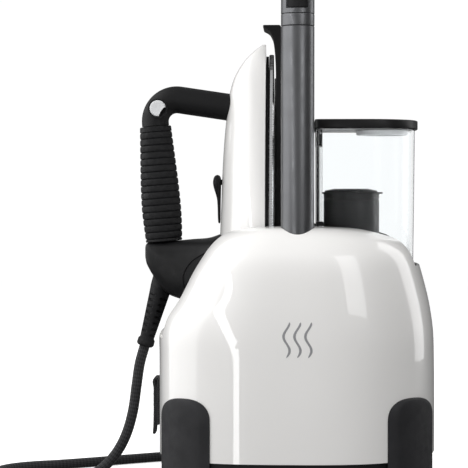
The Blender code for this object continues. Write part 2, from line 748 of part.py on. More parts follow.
def add_rear_fittings():
    """Hose gland, mains inlet and power button on the rear wall."""
    keep_out = housing_solid("rear_keep_out", GAP)
    cone = ((0, GLAND_LENGTH), (4.9, GLAND_LENGTH), (5.4, GLAND_LENGTH - 1), (6.4, 5), (7.0, 4),
            (7.0, -6), (0, -6))
    gland = turned("hose_gland", cone, GLAND_WALL, GLAND_DIRECTION, steps=20)
    finish(combine(gland, keep_out), "root", BLACK)
    inlet = box("mains_inlet", (38, 84, 38), (66, 101.8, 62))
    bevel(inlet, 2.0)
    combine(inlet, as_cutter(box("mains_inlet_recess", (42.5, 95, 42.5), (61.5, 110, 57.5))))
    finish(combine(inlet, keep_out), "root", BLACK)
    press = ((0, 101.8), (7.2, 101.8), (8.0, 101.0), (8.0, 90), (0, 90))
    button = turned("power_button", press, (34, 0, 120), (0, 1, 0))
    finish(button, "power_button", LIGHT_GREY)


# ---------------------------------------------------------------- tank

def add_tank():
    """Clear tank with its valve and the catch on the housing."""
    floor = [(x, y, TANK_FLOOR) for x, y in tank_outline(-0.4)]
    top = [(x, y, TANK_TOP) for x, y in tank_outline(0.0, 1.3)]
    tank = thicken(loft("water_tank", [floor, top], closed_top=False), TANK_WALL)
    combine(tank, as_cutter(box("hinge_notch", (8, -18.4, 268.6), (20, 18.4, 300))))
    combine(tank, as_cutter(rod("valve_hole", (52, 0, 90), (52, 0, 104), 5.3)))
    finish(tank, "tank", CLEAR)
    valve = ((0, 106), (3, 106), (3, 102), (8, 102), (8, TANK_FLOOR + TANK_WALL + GAP),
             (5, TANK_FLOOR + TANK_WALL + GAP), (5, 84), (0, 84))
    finish(turned("tank_valve", valve, (52, 0, 0), steps=20), "tank", BLACK)
    catch = box("tank_catch", (14.2, -63.0, 207.9), (19.6, -56.5, 211.2))
    finish(bevel(catch, 0.6, 1), "root", SATIN_BLACK)


def add_cartridge():
    """Filter cartridge: a cylinder with a flange near its top, standing on the tank's floor."""
    flange = CARTRIDGE_RADIUS + 2.7
    body = ((0, 236), (14, 236), (CARTRIDGE_RADIUS - 1.5, 234.4), (CARTRIDGE_RADIUS - 1.5, 233.4),
            (flange, 233.4), (flange, 231.9), (CARTRIDGE_RADIUS, 231.9), (CARTRIDGE_RADIUS, 100.2),
            (19.5, 100.2), (19.5, 111), (0, 111))
    finish(turned("filter_cartridge", body, (CARTRIDGE_X, 0, 0), steps=32), "cartridge", CHARCOAL)


def add_lid():
    """Lid with its funnel, hinge block and pin."""
    x, _, z = LID_AXIS
    lid = bevel(prism("tank_lid", tank_outline(1.4, 2.1), "z", LID_BOTTOM, LID_TOP), 1.0, 2, 50)
    ear = as_cutter(box("lid_ear", (x - 1.4, -15.1, z - 2.7), (x + 1.4, 15.1, LID_BOTTOM + 2)))
    ear.parent = BODIES["lid"]
    ear.location = -Vector(LID_AXIS) * MM
    combine(lid, ear, "UNION")
    pin_hole = as_cutter(rod("lid_pin_hole", (x, -30, z), (x, 30, z), 1.1, 16))
    combine(lid, pin_hole)
    finish(lid, "lid", BLACK)
    cup = ((20.3, LID_BOTTOM - GAP), (20.3, 277.8), (16.5, 277.8), (16.5, LID_BOTTOM - GAP))
    finish(turned("lid_funnel", cup, (66.4, 0, 0), closed=True, steps=32), "lid", LIGHT_GREY)
    block = prism("lid_hinge_block", ((-18, 269), (18, 269), (18, 280.6), (15.5, 280.6), (15.5, 275.7),
                                      (-15.5, 275.7), (-15.5, 280.6), (-18, 280.6)), "x", x - 1.9, x + 1.5)
    finish(combine(block, pin_hole), "tank", BLACK)
    finish(rod("lid_hinge_pin", (x, -17.8, z), (x, 17.8, z), 0.8, 12), "tank", STEEL)


# ---------------------------------------------------------------- iron

def add_iron_body():
    """Cover, heat shield, soleplate and steam chamber."""
    cover = loft("iron_cover", cover_rings())
    combine(cover, as_cutter(loft("cover_hollow", cover_rings(-COVER_WALL, 6.0))))
    elbow_start, elbow_corner = Vector(ELBOW_CORNERS[0]), Vector(ELBOW_CORNERS[1])
    ahead = (elbow_corner - elbow_start).normalized()
    mouth = rod("elbow_mouth", elbow_start - ahead * 4, elbow_start + ahead * 24, ELBOW_RADIUS + GAP)
    combine(cover, as_cutter(mouth))
    combine(cover, as_cutter(rod("lever_hole", (-70, 0, LEVER_AXIS[2]), (-45, 0, LEVER_AXIS[2]), 2.6, 16)))
    finish(cover, "iron", WHITE)
    shield = prism("heat_shield", sole_outline(1.2), "x", -24.6, -22.6)
    finish(shield, "iron", BLACK)
    sole = prism("soleplate", sole_outline(0.0), "x", -22.3, -18.6)
    bevel(sole, 0.8, 1, 50)
    vents = []
    for height, half in ((322, 6), (306, 13), (290, 20), (274, 26), (256, 31), (236, 35), (214, 38)):
        vents.extend(((-24, side * half, height), (-17, side * half, height), 1.5) for side in (-1, 1))
    vents.extend(((-24, y, 176), (-17, y, 176), 1.5) for y in (-24, -12, 0, 12, 24))
    combine(sole, as_cutter(rods("steam_vents", vents, 8)))
    finish(sole, "iron", ALUMINIUM)
    chamber = [(y * 0.66, 140 + (z - SOLE_HEEL) * 0.72) for y, z in sole_outline(2.0)]
    finish(prism("steam_chamber", chamber, "x", -38.0, -25.0), "iron", ALUMINIUM)


def add_iron_handle():
    """Elbow, grip, core, heel and strain relief."""
    path = rounded_path(ELBOW_CORNERS, 17.0, 8)
    elbow = mesh_of_curve(tube("handle_elbow", path, ELBOW_RADIUS, 4))
    x, z = BUTTON_PLACE
    combine(elbow, as_cutter(rod("button_boss", (x, -11.6, z), (x, 11.6, z), BOSS_RADIUS)), "UNION")
    pockets = [((x, side * 7.3, z), (x, side * 16, z), BUTTON_RADIUS + GAP) for side in (-1, 1)]
    combine(elbow, as_cutter(rods("button_pockets", pockets)))
    finish(elbow, "iron", SATIN_BLACK)
    for name, side in (("front", -1), ("rear", 1)):
        button = rod(f"steam_button_{name}", (x, side * 9.6, z), (x, side * 12.8, z), BUTTON_RADIUS)
        finish(bevel(button, 0.6, 2), f"steam_button_{name}", LIGHT_GREY)
    rings = [oval_ring(middle, width / 2, width * 0.48, height, 20, 2.2, GRIP_SLOPE)
             for height, middle, width in reversed(GRIP_STATIONS)]
    grip = loft("handle_grip", rings)
    combine(grip, as_cutter(rod("core_hole", (-113, 0, 294), (-105, 0, 186), 7.9)))
    finish(grip, "iron", RUBBER)
    finish(rod("handle_core", (-112.3, 0, 284.6), (-105.7, 0, 195.6), 7.4), "iron", BLACK)
    add_iron_heel()


def add_iron_heel():
    """Heel block that joins the grip to the cover, and the hose's strain relief."""
    rings = []
    for x, low, high, half in HEEL_STATIONS:
        middle, reach = (low + high) / 2, (high - low) / 2
        ring = []
        for i in range(20):
            angle = 2 * math.pi * i / 20
            y = half * signed_power(math.cos(angle), 2 / 3.6)
            ring.append((x, y, middle + reach * signed_power(math.sin(angle), 2 / 3.6)))
        rings.append(ring)
    heel = loft("iron_heel", rings)
    combine(heel, as_cutter(loft("cover_keep_out", cover_rings(0.35))))
    root = BOOT_ROOT - BOOT_DIRECTION * 9
    combine(heel, as_cutter(rod("boot_hole", root, BOOT_ROOT + BOOT_DIRECTION * 8, 8.9)))
    finish(heel, "iron", BLACK)
    top = 8.0
    end = -BOOT_LENGTH
    boot = ((0, top), (8.5, top), (8.5, 0), (8.0, -6), (5.6, end + 8), (6.3, end + 7), (6.3, end + 1.5),
            (5.2, end), (0, end))
    finish(turned("hose_boot", boot, BOOT_ROOT, -BOOT_DIRECTION, steps=20), "iron", BLACK)


def add_thermostat_lever():
    """Teardrop lever on the cover, with its knob and shaft."""
    height = LEVER_AXIS[2]
    outline = [(6.2 * math.sin(a), height + 6.2 * math.cos(a)) for a in
               [math.radians(-115 + 230 * i / 12) for i in range(13)]]
    outline.extend(((1.8, 212.0), (0.0, 208.8), (-1.8, 212.0)))
    lever = prism("thermostat_lever", outline, "x", -62.9, -60.9)
    knob = [((-66.7, 0, height), (-62.0, 0, height), 5.0), ((-61.5, 0, height), (-50, 0, height), 2.2)]
    shaft = as_cutter(object_from("lever_shaft", rod_mesh("lever_shaft", knob, 20)))
    finish(combine(lever, shaft, "UNION"), "thermostat", SATIN_BLACK)


# ---------------------------------------------------------------- hose

def add_hose():
    """Free steam hose: its run, the coil of its spare length with a tie, and the tail to the gland."""
    finish(tube("steam_hose", smooth_path(HOSE_RUN, HOSE_SPACING), HOSE_RADIUS, 2), "root", WOVEN)
    finish(tube("hose_tail", smooth_path(HOSE_TAIL, 8.0), HOSE_RADIUS, 2), "root", WOVEN)
    ring = ((COIL_OUTER, COIL_TOP), (COIL_OUTER, COIL_BOTTOM), (COIL_INNER, COIL_BOTTOM),
            (COIL_INNER, COIL_TOP))
    coil = turned("hose_coil", ring, (*COIL_CENTRE, 0), closed=True, steps=32)
    finish(coil, "root", WOVEN)
    x, y = COIL_CENTRE
    inside, outside = COIL_INNER - 0.8, COIL_OUTER + 0.5
    loop = [(x + inside - 1, COIL_BOTTOM - 0.9), (x + outside + 1, COIL_BOTTOM - 0.9),
            (x + outside + 1, COIL_TOP + 1.2), (x + inside - 1, COIL_TOP + 1.2)]
    tie = prism("coil_tie", loop, "y", y - 6, y + 6)
    hollow = box("tie_hollow", (x + inside, y - 8, COIL_BOTTOM - 0.25), (x + outside, y + 8, COIL_TOP + 0.4))
    finish(combine(tie, as_cutter(hollow)), "root", WOVEN)


def main():
    """Build every piece of the station and the iron."""
    add_bodies()
    skin = housing_solid("liner_skin", -0.5)
    add_body_shell()
    add_dock_liner(skin)
    add_bay_liner(skin)
    add_base_tray()
    add_corner_pads()
    add_feet()
    add_handle()
    add_rest_plate()
    add_strap()
    add_boiler()
    add_water_side()
    add_rear_fittings()
    add_tank()
    add_cartridge()
    add_lid()
    add_iron_body()
    add_iron_handle()
    add_thermostat_lever()
    add_hose()


main()
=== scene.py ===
"""Looks of the steam generator iron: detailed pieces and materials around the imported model.

The helpers take millimetres measured from the carry handle's axis (x), the middle of the depth (y)
and the floor (z). They turn them into metres in the frame, whose handle posts say where that axis is.
"""
import math

import bmesh
import bpy
from mathutils import Matrix, Vector


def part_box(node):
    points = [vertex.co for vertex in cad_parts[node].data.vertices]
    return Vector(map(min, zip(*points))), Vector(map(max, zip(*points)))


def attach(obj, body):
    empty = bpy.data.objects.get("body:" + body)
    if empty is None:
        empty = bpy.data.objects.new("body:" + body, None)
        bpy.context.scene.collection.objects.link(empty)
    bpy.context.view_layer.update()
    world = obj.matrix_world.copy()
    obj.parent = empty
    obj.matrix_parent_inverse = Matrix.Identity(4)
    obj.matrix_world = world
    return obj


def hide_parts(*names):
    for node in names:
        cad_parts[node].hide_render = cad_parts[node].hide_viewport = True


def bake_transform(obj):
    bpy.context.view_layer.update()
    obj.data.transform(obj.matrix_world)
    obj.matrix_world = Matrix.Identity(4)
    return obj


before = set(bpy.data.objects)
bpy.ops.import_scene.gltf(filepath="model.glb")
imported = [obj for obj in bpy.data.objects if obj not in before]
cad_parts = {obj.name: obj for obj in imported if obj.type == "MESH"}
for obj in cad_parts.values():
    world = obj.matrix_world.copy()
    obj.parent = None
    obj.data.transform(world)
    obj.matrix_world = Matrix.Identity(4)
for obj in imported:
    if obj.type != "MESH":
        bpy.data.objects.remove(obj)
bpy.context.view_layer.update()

MM = 0.001
_low, _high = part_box("handle_post_front")
AXIS_X = (_low[0] + _high[0]) / 2

# Housing: height, reach to the left, reach to the right, half depth
SHELL_SECTIONS = (
    (33.2, 107.4, 107.0, 102.0), (72.0, 107.4, 107.0, 102.0), (108.0, 107.4, 106.6, 102.0),
    (125.0, 107.2, 106.0, 101.9), (138.0, 103.4, 104.4, 101.5), (152.0, 94.0, 101.8, 100.8),
    (173.0, 82.9, 96.3, 99.0), (184.0, 76.2, 92.6, 96.6), (192.0, 71.0, 88.0, 92.6),
    (199.0, 64.5, 79.5, 87.6), (203.5, 57.0, 66.0, 83.0), (206.0, 48.0, 52.0, 79.0),
    (207.6, 26.0, 26.0, 72.0),
)
POWER_LEFT = 3.4
POWER_RIGHT = 2.6
SHELL_WALL = 2.5
POST_Y = 72.0
POST_RADIUS = 12.5

# Hose route from the iron to the station; the coil lies behind the body
HOSE_RADIUS = 4.1
HOSE_RUN = (
    (-121.2, 0, 111.2), (-125.1, 0, 97.0), (-127.6, -0.3, 80.0), (-130.4, -0.8, 60.0),
    (-135.6, -1.6, 41.5), (-143.6, -2.8, 26.4), (-155.4, -4.6, 13.8), (-171.0, -6.8, 6.2),
    (-190.0, -8.6, 4.3), (-211.0, -7.6, 4.3), (-231.0, 1.0, 4.3), (-243.6, 18.0, 4.3),
    (-245.6, 37.5, 4.3), (-237.0, 55.5, 4.3), (-221.0, 67.6, 4.3), (-199.0, 77.0, 4.3),
    (-172.0, 91.5, 4.3), (-145.0, 107.6, 4.3), (-119.0, 122.0, 4.3), (-98.0, 131.6, 4.3),
    (-80.0, 136.2, 4.4), (-65.0, 137.0, 5.0),
)
HOSE_TAIL = (
    (-74.6, 156.0, 26.4), (-72.3, 147.0, 30.9), (-70.6, 140.1, 35.2), (-69.0, 133.8, 39.4),
    (-67.5, 127.8, 41.6), (-66.9, 125.4, 42.0),
)
COIL_CENTRE = (-34.5, 181.5)
COIL_RADII = (49.2, 40.8)
COIL_LAYER = 5.2
COIL_PITCH = 8.3


# ---------------------------------------------------------------- materials

class Paint:
    """A procedural material, made node by node."""

    def __init__(self, name, colour, roughness=0.5, metallic=0.0, **sockets):
        self.material = bpy.data.materials.new(name)
        self.material.use_nodes = True
        self.nodes = self.material.node_tree.nodes
        self.links = self.material.node_tree.links
        self.shader = self.nodes["Principled BSDF"]
        self.colour = (*colour, 1.0)
        self.shader.inputs["Base Color"].default_value = self.colour
        self.shader.inputs["Roughness"].default_value = roughness
        self.shader.inputs["Metallic"].default_value = metallic
        for socket, value in sockets.items():
            self.shader.inputs[socket.replace("_", " ")].default_value = value
        self.height = None
        self.place = None

    def node(self, kind, **settings):
        """Add a node; settings are its properties or its inputs' values."""
        made = self.nodes.new(kind)
        for key, value in settings.items():
            if hasattr(made, key):
                setattr(made, key, value)
            else:
                made.inputs[key.replace("_", " ")].default_value = value
        return made

    def coordinates(self, kind="Object"):
        """Where the texture is read: the frame's own space, or along a tube."""
        if self.place is None:
            self.place = self.node("ShaderNodeTexCoord")
        return self.place.outputs[kind]

    def noise(self, scale, detail=3.0, stretch=(1, 1, 1), kind="Object"):
        """Cloudy noise, finer with scale, stretched along an axis."""
        mapping = self.node("ShaderNodeMapping")
        mapping.inputs["Scale"].default_value = stretch
        self.links.new(self.coordinates(kind), mapping.inputs["Vector"])
        made = self.node("ShaderNodeTexNoise", Scale=scale, Detail=detail)
        self.links.new(mapping.outputs["Vector"], made.inputs["Vector"])
        return made.outputs["Fac"]

    def cells(self, scale):
        """Round cells, for moulded grain and specks."""
        made = self.node("ShaderNodeTexVoronoi", Scale=scale)
        self.links.new(self.coordinates(), made.inputs["Vector"])
        return made.outputs["Distance"]

    def span(self, factor, low, high, start=0.3, end=0.7):
        """Turn a factor into values between low and high."""
        made = self.node("ShaderNodeMapRange")
        made.inputs["From Min"].default_value = start
        made.inputs["From Max"].default_value = end
        made.inputs["To Min"].default_value = low
        made.inputs["To Max"].default_value = high
        self.links.new(factor, made.inputs["Value"])
        return made.outputs["Result"]

    def tint(self, factor, low, high):
        """Vary the base colour between two colours."""
        mix = self.node("ShaderNodeMix", data_type="RGBA")
        mix.inputs["A"].default_value = (*low, 1.0)
        mix.inputs["B"].default_value = (*high, 1.0)
        self.links.new(factor, mix.inputs["Factor"])
        for output in mix.outputs:
            if output.type == "RGBA":
                self.links.new(output, self.shader.inputs["Base Color"])
        return self

    def rough(self, factor, low, high):
        """Vary the roughness."""
        self.links.new(self.span(factor, low, high), self.shader.inputs["Roughness"])
        return self

    def bump(self, factor, depth_mm, strength=0.6):
        """Raise the surface by a factor; several bumps add up."""
        made = self.node("ShaderNodeBump")
        made.inputs["Strength"].default_value = strength
        made.inputs["Distance"].default_value = depth_mm * MM
        self.links.new(factor, made.inputs["Height"])
        if self.height is not None:
            self.links.new(self.height, made.inputs["Normal"])
        self.height = made.outputs["Normal"]
        self.links.new(self.height, self.shader.inputs["Normal"])
        return self

    def math(self, operation, first, second=None):
        """One arithmetic step on outputs or numbers."""
        made = self.node("ShaderNodeMath", operation=operation)
        for socket, value in zip(made.inputs, (first, second)):
            if value is None:
                continue
            if isinstance(value, (int, float)):
                socket.default_value = value
            else:
                self.links.new(value, socket)
        return made.outputs[0]

    def weave(self, across, along, kind="UV"):
        """Over-and-under pattern of two crossing sets of threads, from 0 to 1."""
        split = self.node("ShaderNodeSeparateXYZ")
        self.links.new(self.coordinates(kind), split.inputs["Vector"])
        u = self.math("MULTIPLY", split.outputs[0], across)
        v = self.math("MULTIPLY", split.outputs[1], along)
        first = self.math("SINE", self.math("ADD", u, v))
        second = self.math("SINE", self.math("SUBTRACT", u, v))
        both = self.math("MULTIPLY", first, second)
        return self.math("ADD", self.math("MULTIPLY", both, 0.5), 0.5)


def gloss_white(name):
    """Glossy warm white moulding with a faint ripple."""
    paint = Paint(name, (0.84, 0.83, 0.81), 0.3, Coat_Weight=1.0, Coat_Roughness=0.02)
    paint.tint(paint.span(paint.noise(9, 3), 0.0, 1.0), (0.825, 0.815, 0.80), (0.85, 0.84, 0.825))
    paint.rough(paint.noise(35, 3), 0.28, 0.34)
    return paint.bump(paint.noise(260, 2), 0.012, 0.15).material


def dock_lining(name):
    """Black lining; its lip on the left shoulder is white like the shell around it."""
    paint = Paint(name, (0.010, 0.010, 0.0105), 0.5, Specular_IOR_Level=0.22)
    split = paint.node("ShaderNodeSeparateXYZ")
    paint.links.new(paint.coordinates(), split.inputs["Vector"])
    above = paint.span(split.outputs["Z"], 0.0, 1.0, 0.1205, 0.1215)
    left = paint.span(split.outputs["X"], 1.0, 0.0, -0.0890, -0.0880)
    paint.tint(paint.math("MULTIPLY", above, left), (0.010, 0.010, 0.0105), (0.84, 0.83, 0.81))
    paint.rough(paint.noise(140, 5), 0.42, 0.6)
    return paint.bump(paint.noise(1100, 3), 0.035, 0.35).material


def moulded(name, colour, roughness, grain_mm=0.05, grain=1900):
    """Moulded plastic with spark-eroded grain and faint handling marks."""
    paint = Paint(name, colour, roughness, Specular_IOR_Level=0.22)
    low = [channel * 0.88 for channel in colour]
    high = [min(1.0, channel * 1.15 + 0.001) for channel in colour]
    paint.tint(paint.span(paint.noise(60, 6), 0.0, 1.0), low, high)
    paint.rough(paint.noise(140, 5), roughness - 0.08, roughness + 0.1)
    paint.bump(paint.cells(grain), grain_mm, 0.5)
    return paint.bump(paint.noise(grain * 0.6, 3), grain_mm * 0.7, 0.35).material


def satin(name, colour, roughness, metallic=0.0, specular=0.3):
    """Smooth satin finish with a fine fleck."""
    paint = Paint(name, colour, roughness, metallic, Specular_IOR_Level=specular)
    fleck = paint.cells(3200)
    bright = [min(1.0, channel * 1.6 + 0.004) for channel in colour]
    paint.tint(paint.span(fleck, 1.0, 0.0, 0.05, 0.35), colour, bright)
    paint.rough(paint.noise(90, 4), roughness - 0.06, roughness + 0.07)
    return paint.bump(paint.noise(1500, 2), 0.015, 0.3).material


def rubber(name, colour=(0.006, 0.006, 0.0065), roughness=0.62):
    """Dull rubber with dust in its pores."""
    paint = Paint(name, colour, roughness, Specular_IOR_Level=0.2)
    pale = [channel * 2.2 + 0.002 for channel in colour]
    paint.tint(paint.span(paint.noise(420, 6), 0.0, 0.8), colour, pale)
    paint.rough(paint.noise(180, 4), roughness - 0.12, roughness + 0.12)
    paint.bump(paint.cells(2600), 0.06, 0.5)
    return paint.bump(paint.noise(700, 4), 0.05, 0.4).material


def metal(name, colour, roughness, stretch=(1, 1, 30), anisotropic=0.3):
    """Brushed or machined metal with lines across the stretched axis."""
    paint = Paint(name, colour, roughness, 1.0, Anisotropic=anisotropic)
    lines = paint.noise(120, 8, stretch)
    dull = [channel * 0.82 for channel in colour]
    paint.tint(paint.span(lines, 0.0, 1.0), dull, colour)
    paint.rough(lines, roughness - 0.08, roughness + 0.12)
    return paint.bump(lines, 0.03, 0.3).material


def woven(name, colour, across, along, depth_mm=0.35, kind="UV"):
    """Woven or braided black threads with paler high points."""
    paint = Paint(name, colour, 0.72, Sheen_Weight=0.12, Sheen_Roughness=0.5, Specular_IOR_Level=0.25)
    threads = paint.weave(across, along, kind)
    pale = [channel * 3.0 + 0.006 for channel in colour]
    paint.tint(paint.span(threads, 0.0, 1.0, 0.1, 0.95), colour, pale)
    paint.bump(threads, depth_mm, 0.9)
    return paint.bump(paint.noise(2400, 3), 0.06, 0.5).material


def clear_plastic(name):
    """Clear tank wall with faint scuffs."""
    paint = Paint(name, (0.97, 0.985, 0.99), 0.03, Transmission_Weight=1.0, IOR=1.12)
    paint.rough(paint.noise(45, 6), 0.015, 0.07)
    return paint.bump(paint.noise(25, 2), 0.06, 0.08).material


def make_materials():
    """All the finishes, by name."""
    return {
        "white": gloss_white("gloss_white"),
        "black": moulded("black_moulding", (0.007, 0.007, 0.0075), 0.42),
        "liner": moulded("liner_moulding", (0.010, 0.010, 0.0105), 0.5),
        "dock": dock_lining("dock_moulding"),
        "pad": moulded("pad_moulding", (0.021, 0.021, 0.023), 0.55, 0.07, 1500),
        "post": satin("post_lacquer", (0.14, 0.142, 0.148), 0.36, 0.92, 0.4),
        "satin": satin("satin_black", (0.006, 0.006, 0.0065), 0.48, 0.0, 0.22),
        "rubber": rubber("grip_rubber"),
        "foot": rubber("foot_rubber", (0.02, 0.02, 0.02), 0.8),
        "inset": moulded("soft_inset", (0.008, 0.008, 0.0085), 0.6, 0.16, 620),
        "braid": woven("hose_braid", (0.010, 0.010, 0.011), math.pi * 16, math.pi * 330),
        "webbing": woven("strap_webbing", (0.010, 0.010, 0.011), math.pi * 800, math.pi * 560, 0.3),
        "webbing_flat": woven("tie_webbing", (0.012, 0.012, 0.013), 2600, 2600, 0.25, "Object"),
        "sole": metal("sole_metal", (0.80, 0.81, 0.82), 0.24),
        "cast": metal("cast_metal", (0.52, 0.53, 0.54), 0.45, (1, 1, 1), 0.0),
        "steel": metal("brushed_steel", (0.58, 0.58, 0.59), 0.28, (1, 1, 24)),
        "brass": metal("machined_brass", (0.72, 0.52, 0.24), 0.32, (1, 1, 20)),
        "board": moulded("board_resist", (0.02, 0.12, 0.05), 0.4, 0.02),
        "grey": satin("light_grey_cap", (0.62, 0.63, 0.64), 0.34),
        "mark": satin("grey_print", (0.27, 0.27, 0.28), 0.45),
        "clear": clear_plastic("clear_tank"),
        "cartridge": moulded("cartridge_moulding", (0.012, 0.012, 0.0125), 0.34, 0.03),
        "silicone": rubber("silicone_tube", (0.05, 0.05, 0.05), 0.5),
    }


MATERIALS = make_materials()


# ---------------------------------------------------------------- shape helpers

def at(x, y, z):
    """A point in the frame, from millimetres about the handle's axis."""
    return Vector((AXIS_X + x * MM, y * MM, z * MM))


def signed_power(value, power):
    """A power that keeps the sign of its base."""
    return math.copysign(abs(value) ** power, value)


def smooth_step(low, high, value):
    """0 below low, 1 above high, and a smooth rise between."""
    share = min(max((value - low) / (high - low), 0.0), 1.0)
    return share * share * (3 - 2 * share)


def curve_value(stations, place):
    """Read smoothly between stations, each a place followed by its values."""
    last = len(stations) - 1
    i = 0
    while i < last - 1 and place > stations[i + 1][0]:
        i += 1
    b, c = stations[i], stations[i + 1]
    a = stations[max(i - 1, 0)]
    d = stations[min(i + 2, last)]
    span = c[0] - b[0]
    t = min(max((place - b[0]) / span, 0.0), 1.0)
    values = []
    for k in range(1, len(b)):
        first = (c[k] - a[k]) / (c[0] - a[0]) * span
        second = (d[k] - b[k]) / (d[0] - b[0]) * span
        values.append(b[k] * (1 + 2 * t) * (1 - t) ** 2 + first * t * (1 - t) ** 2
                      + c[k] * t * t * (3 - 2 * t) + second * t * t * (t - 1))
    return values


def smooth_path(points, spacing):
    """A smooth curve through points, read at about even steps."""
    points = [Vector(point) for point in points]
    ends = [points[0] * 2 - points[1], *points, points[-1] * 2 - points[-2]]
    path = [points[0]]
    for a, b, c, d in zip(ends, ends[1:], ends[2:], ends[3:]):
        count = max(1, round((c - b).length / spacing))
        for i in range(1, count + 1):
            t = i / count
            path.append(((b * 2) + (c - a) * t + (a * 2 - b * 5 + c * 4 - d) * t * t
                         + (b * 3 - a - c * 3 + d) * t ** 3) / 2)
    return path


def rounded_path(corners, radius, steps=16):
    """A path of straight runs whose inner corners are arcs."""
    corners = [Vector(corner) for corner in corners]
    path = [corners[0]]
    for before, corner, after in zip(corners, corners[1:], corners[2:]):
        back = (before - corner).normalized()
        ahead = (after - corner).normalized()
        half = back.angle(ahead) / 2
        centre = corner + (back + ahead).normalized() * radius / math.sin(half)
        first = corner + back * radius / math.tan(half) - centre
        last = corner + ahead * radius / math.tan(half) - centre
        path.extend(centre + first.slerp(last, i / steps) * radius for i in range(steps + 1))
    path.append(corners[-1])
    return path


def new_piece(name, work, material, sharp=40):
    """Make an object of a bmesh, in its material."""
    mesh = bpy.data.meshes.new(name)
    work.to_mesh(mesh)
    work.free()
    piece = bpy.data.objects.new(name, mesh)
    bpy.context.scene.collection.objects.link(piece)
    mesh.shade_smooth()
    mesh.set_sharp_from_angle(angle=math.radians(sharp))
    mesh.materials.append(MATERIALS[material])
    return piece


def skin(work, rings, caps=True, closed=False, uv_scale=None):
    """Join rings of points by faces; closed joins the last ring to the first."""
    loops = [[work.verts.new(at(*point)) for point in ring] for ring in rings]
    pairs = list(zip(loops, loops[1:]))
    if closed:
        pairs.append((loops[-1], loops[0]))
    faces = []
    for lower, upper in pairs:
        for i, corner in enumerate(lower):
            j = (i + 1) % len(lower)
            faces.append(work.faces.new((corner, lower[j], upper[j], upper[i])))
    if caps:
        work.faces.new(list(reversed(loops[0])))
        work.faces.new(loops[-1])
    if uv_scale is not None:
        layer = work.loops.layers.uv.verify()
        count = len(rings[0])
        lengths = [0.0]
        middles = [sum((Vector(point) for point in ring), Vector()) / count for ring in rings]
        for first, second in zip(middles, middles[1:]):
            lengths.append(lengths[-1] + (second - first).length * MM)
        for index, face in enumerate(faces):
            i, step = index % count, index // count
            corners = ((i, step), (i + 1, step), (i + 1, step + 1), (i, step + 1))
            for loop, (u, v) in zip(face.loops, corners):
                loop[layer].uv = (u / count, lengths[v] * uv_scale)
    return loops


def loft(name, rings, material, caps=True, closed=False, sharp=40, uv_scale=None):
    """A piece skinned over rings."""
    work = bmesh.new()
    skin(work, rings, caps, closed, uv_scale)
    bmesh.ops.recalc_face_normals(work, faces=work.faces)
    return new_piece(name, work, material, sharp)


def frame_of(direction):
    """Two directions square to a direction."""
    direction = Vector(direction).normalized()
    side = Vector((0, 1, 0)) if abs(direction.y) < 0.9 else Vector((1, 0, 0))
    first = direction.cross(side).normalized()
    return first, direction.cross(first).normalized()


def lathe(name, profile, place, direction, material, sides=64, sharp=40, wobble=None):
    """A turned piece: (radius, distance) points along its axis; wobble changes the radius."""
    direction = Vector(direction).normalized()
    across, up = frame_of(direction)
    rings = []
    for radius, distance in profile:
        ring = []
        for i in range(sides):
            angle = 2 * math.pi * i / sides
            reach = max(radius, 0.02)
            if wobble is not None:
                reach = wobble(reach, distance, angle)
            point = Vector(place) + direction * distance
            point = point + (across * math.cos(angle) + up * math.sin(angle)) * reach
            ring.append(tuple(point))
        rings.append(ring)
    return loft(name, rings, material, sharp=sharp)


def ring_lathe(name, profile, place, direction, material, sides=64):
    """A turned ring: the profile is a closed loop."""
    direction = Vector(direction).normalized()
    across, up = frame_of(direction)
    rings = []
    for radius, distance in profile:
        ring = []
        for i in range(sides):
            angle = 2 * math.pi * i / sides
            point = Vector(place) + direction * distance
            ring.append(tuple(point + (across * math.cos(angle) + up * math.sin(angle)) * radius))
        rings.append(ring)
    return loft(name, rings, material, caps=False, closed=True)


def round_profile(points, radius, steps=4):
    """Round the corners of a profile of (radius, distance) points."""
    flat = [Vector((x, y, 0)) for x, y in points]
    out = [points[0]]
    for before, corner, after in zip(flat, flat[1:], flat[2:]):
        reach = min(radius, (before - corner).length * 0.45, (after - corner).length * 0.45)
        first = corner + (before - corner).normalized() * reach
        last = corner + (after - corner).normalized() * reach
        for i in range(steps + 1):
            t = i / steps
            point = first * (1 - t) ** 2 + corner * 2 * t * (1 - t) + last * t * t
            out.append((point.x, point.y))
    out.append(points[-1])
    return out


def tube(name, path, radius, material, sides=32, uv_scale=None):
    """A round tube along a path; radius is a number or a function of the distance along it."""
    path = [Vector(point) for point in path]
    rings = []
    across = None
    distance = 0.0
    for i, place in enumerate(path):
        ahead = (path[min(i + 1, len(path) - 1)] - path[max(i - 1, 0)]).normalized()
        if across is None:
            across, _ = frame_of(ahead)
        across = (across - ahead * across.dot(ahead)).normalized()
        up = ahead.cross(across)
        if i:
            distance += (place - path[i - 1]).length
        reach = radius(distance) if callable(radius) else radius
        ring = []
        for k in range(sides):
            angle = 2 * math.pi * k / sides
            ring.append(tuple(place + (across * math.cos(angle) + up * math.sin(angle)) * reach))
        rings.append(ring)
    return loft(name, rings, material, uv_scale=uv_scale)


def swept(name, path, outline, material, sharp=40, uv_scale=None):
    """An outline of (across, outward) points carried along a path in the y-z plane."""
    rings = []
    for i, place in enumerate(path):
        ahead = (path[min(i + 1, len(path) - 1)] - path[max(i - 1, 0)]).normalized()
        outward = Vector((0.0, -ahead.z, ahead.y))
        rings.append([tuple(place + Vector((u, 0, 0)) + outward * v) for u, v in outline])
    return loft(name, rings, material, sharp=sharp, uv_scale=uv_scale)


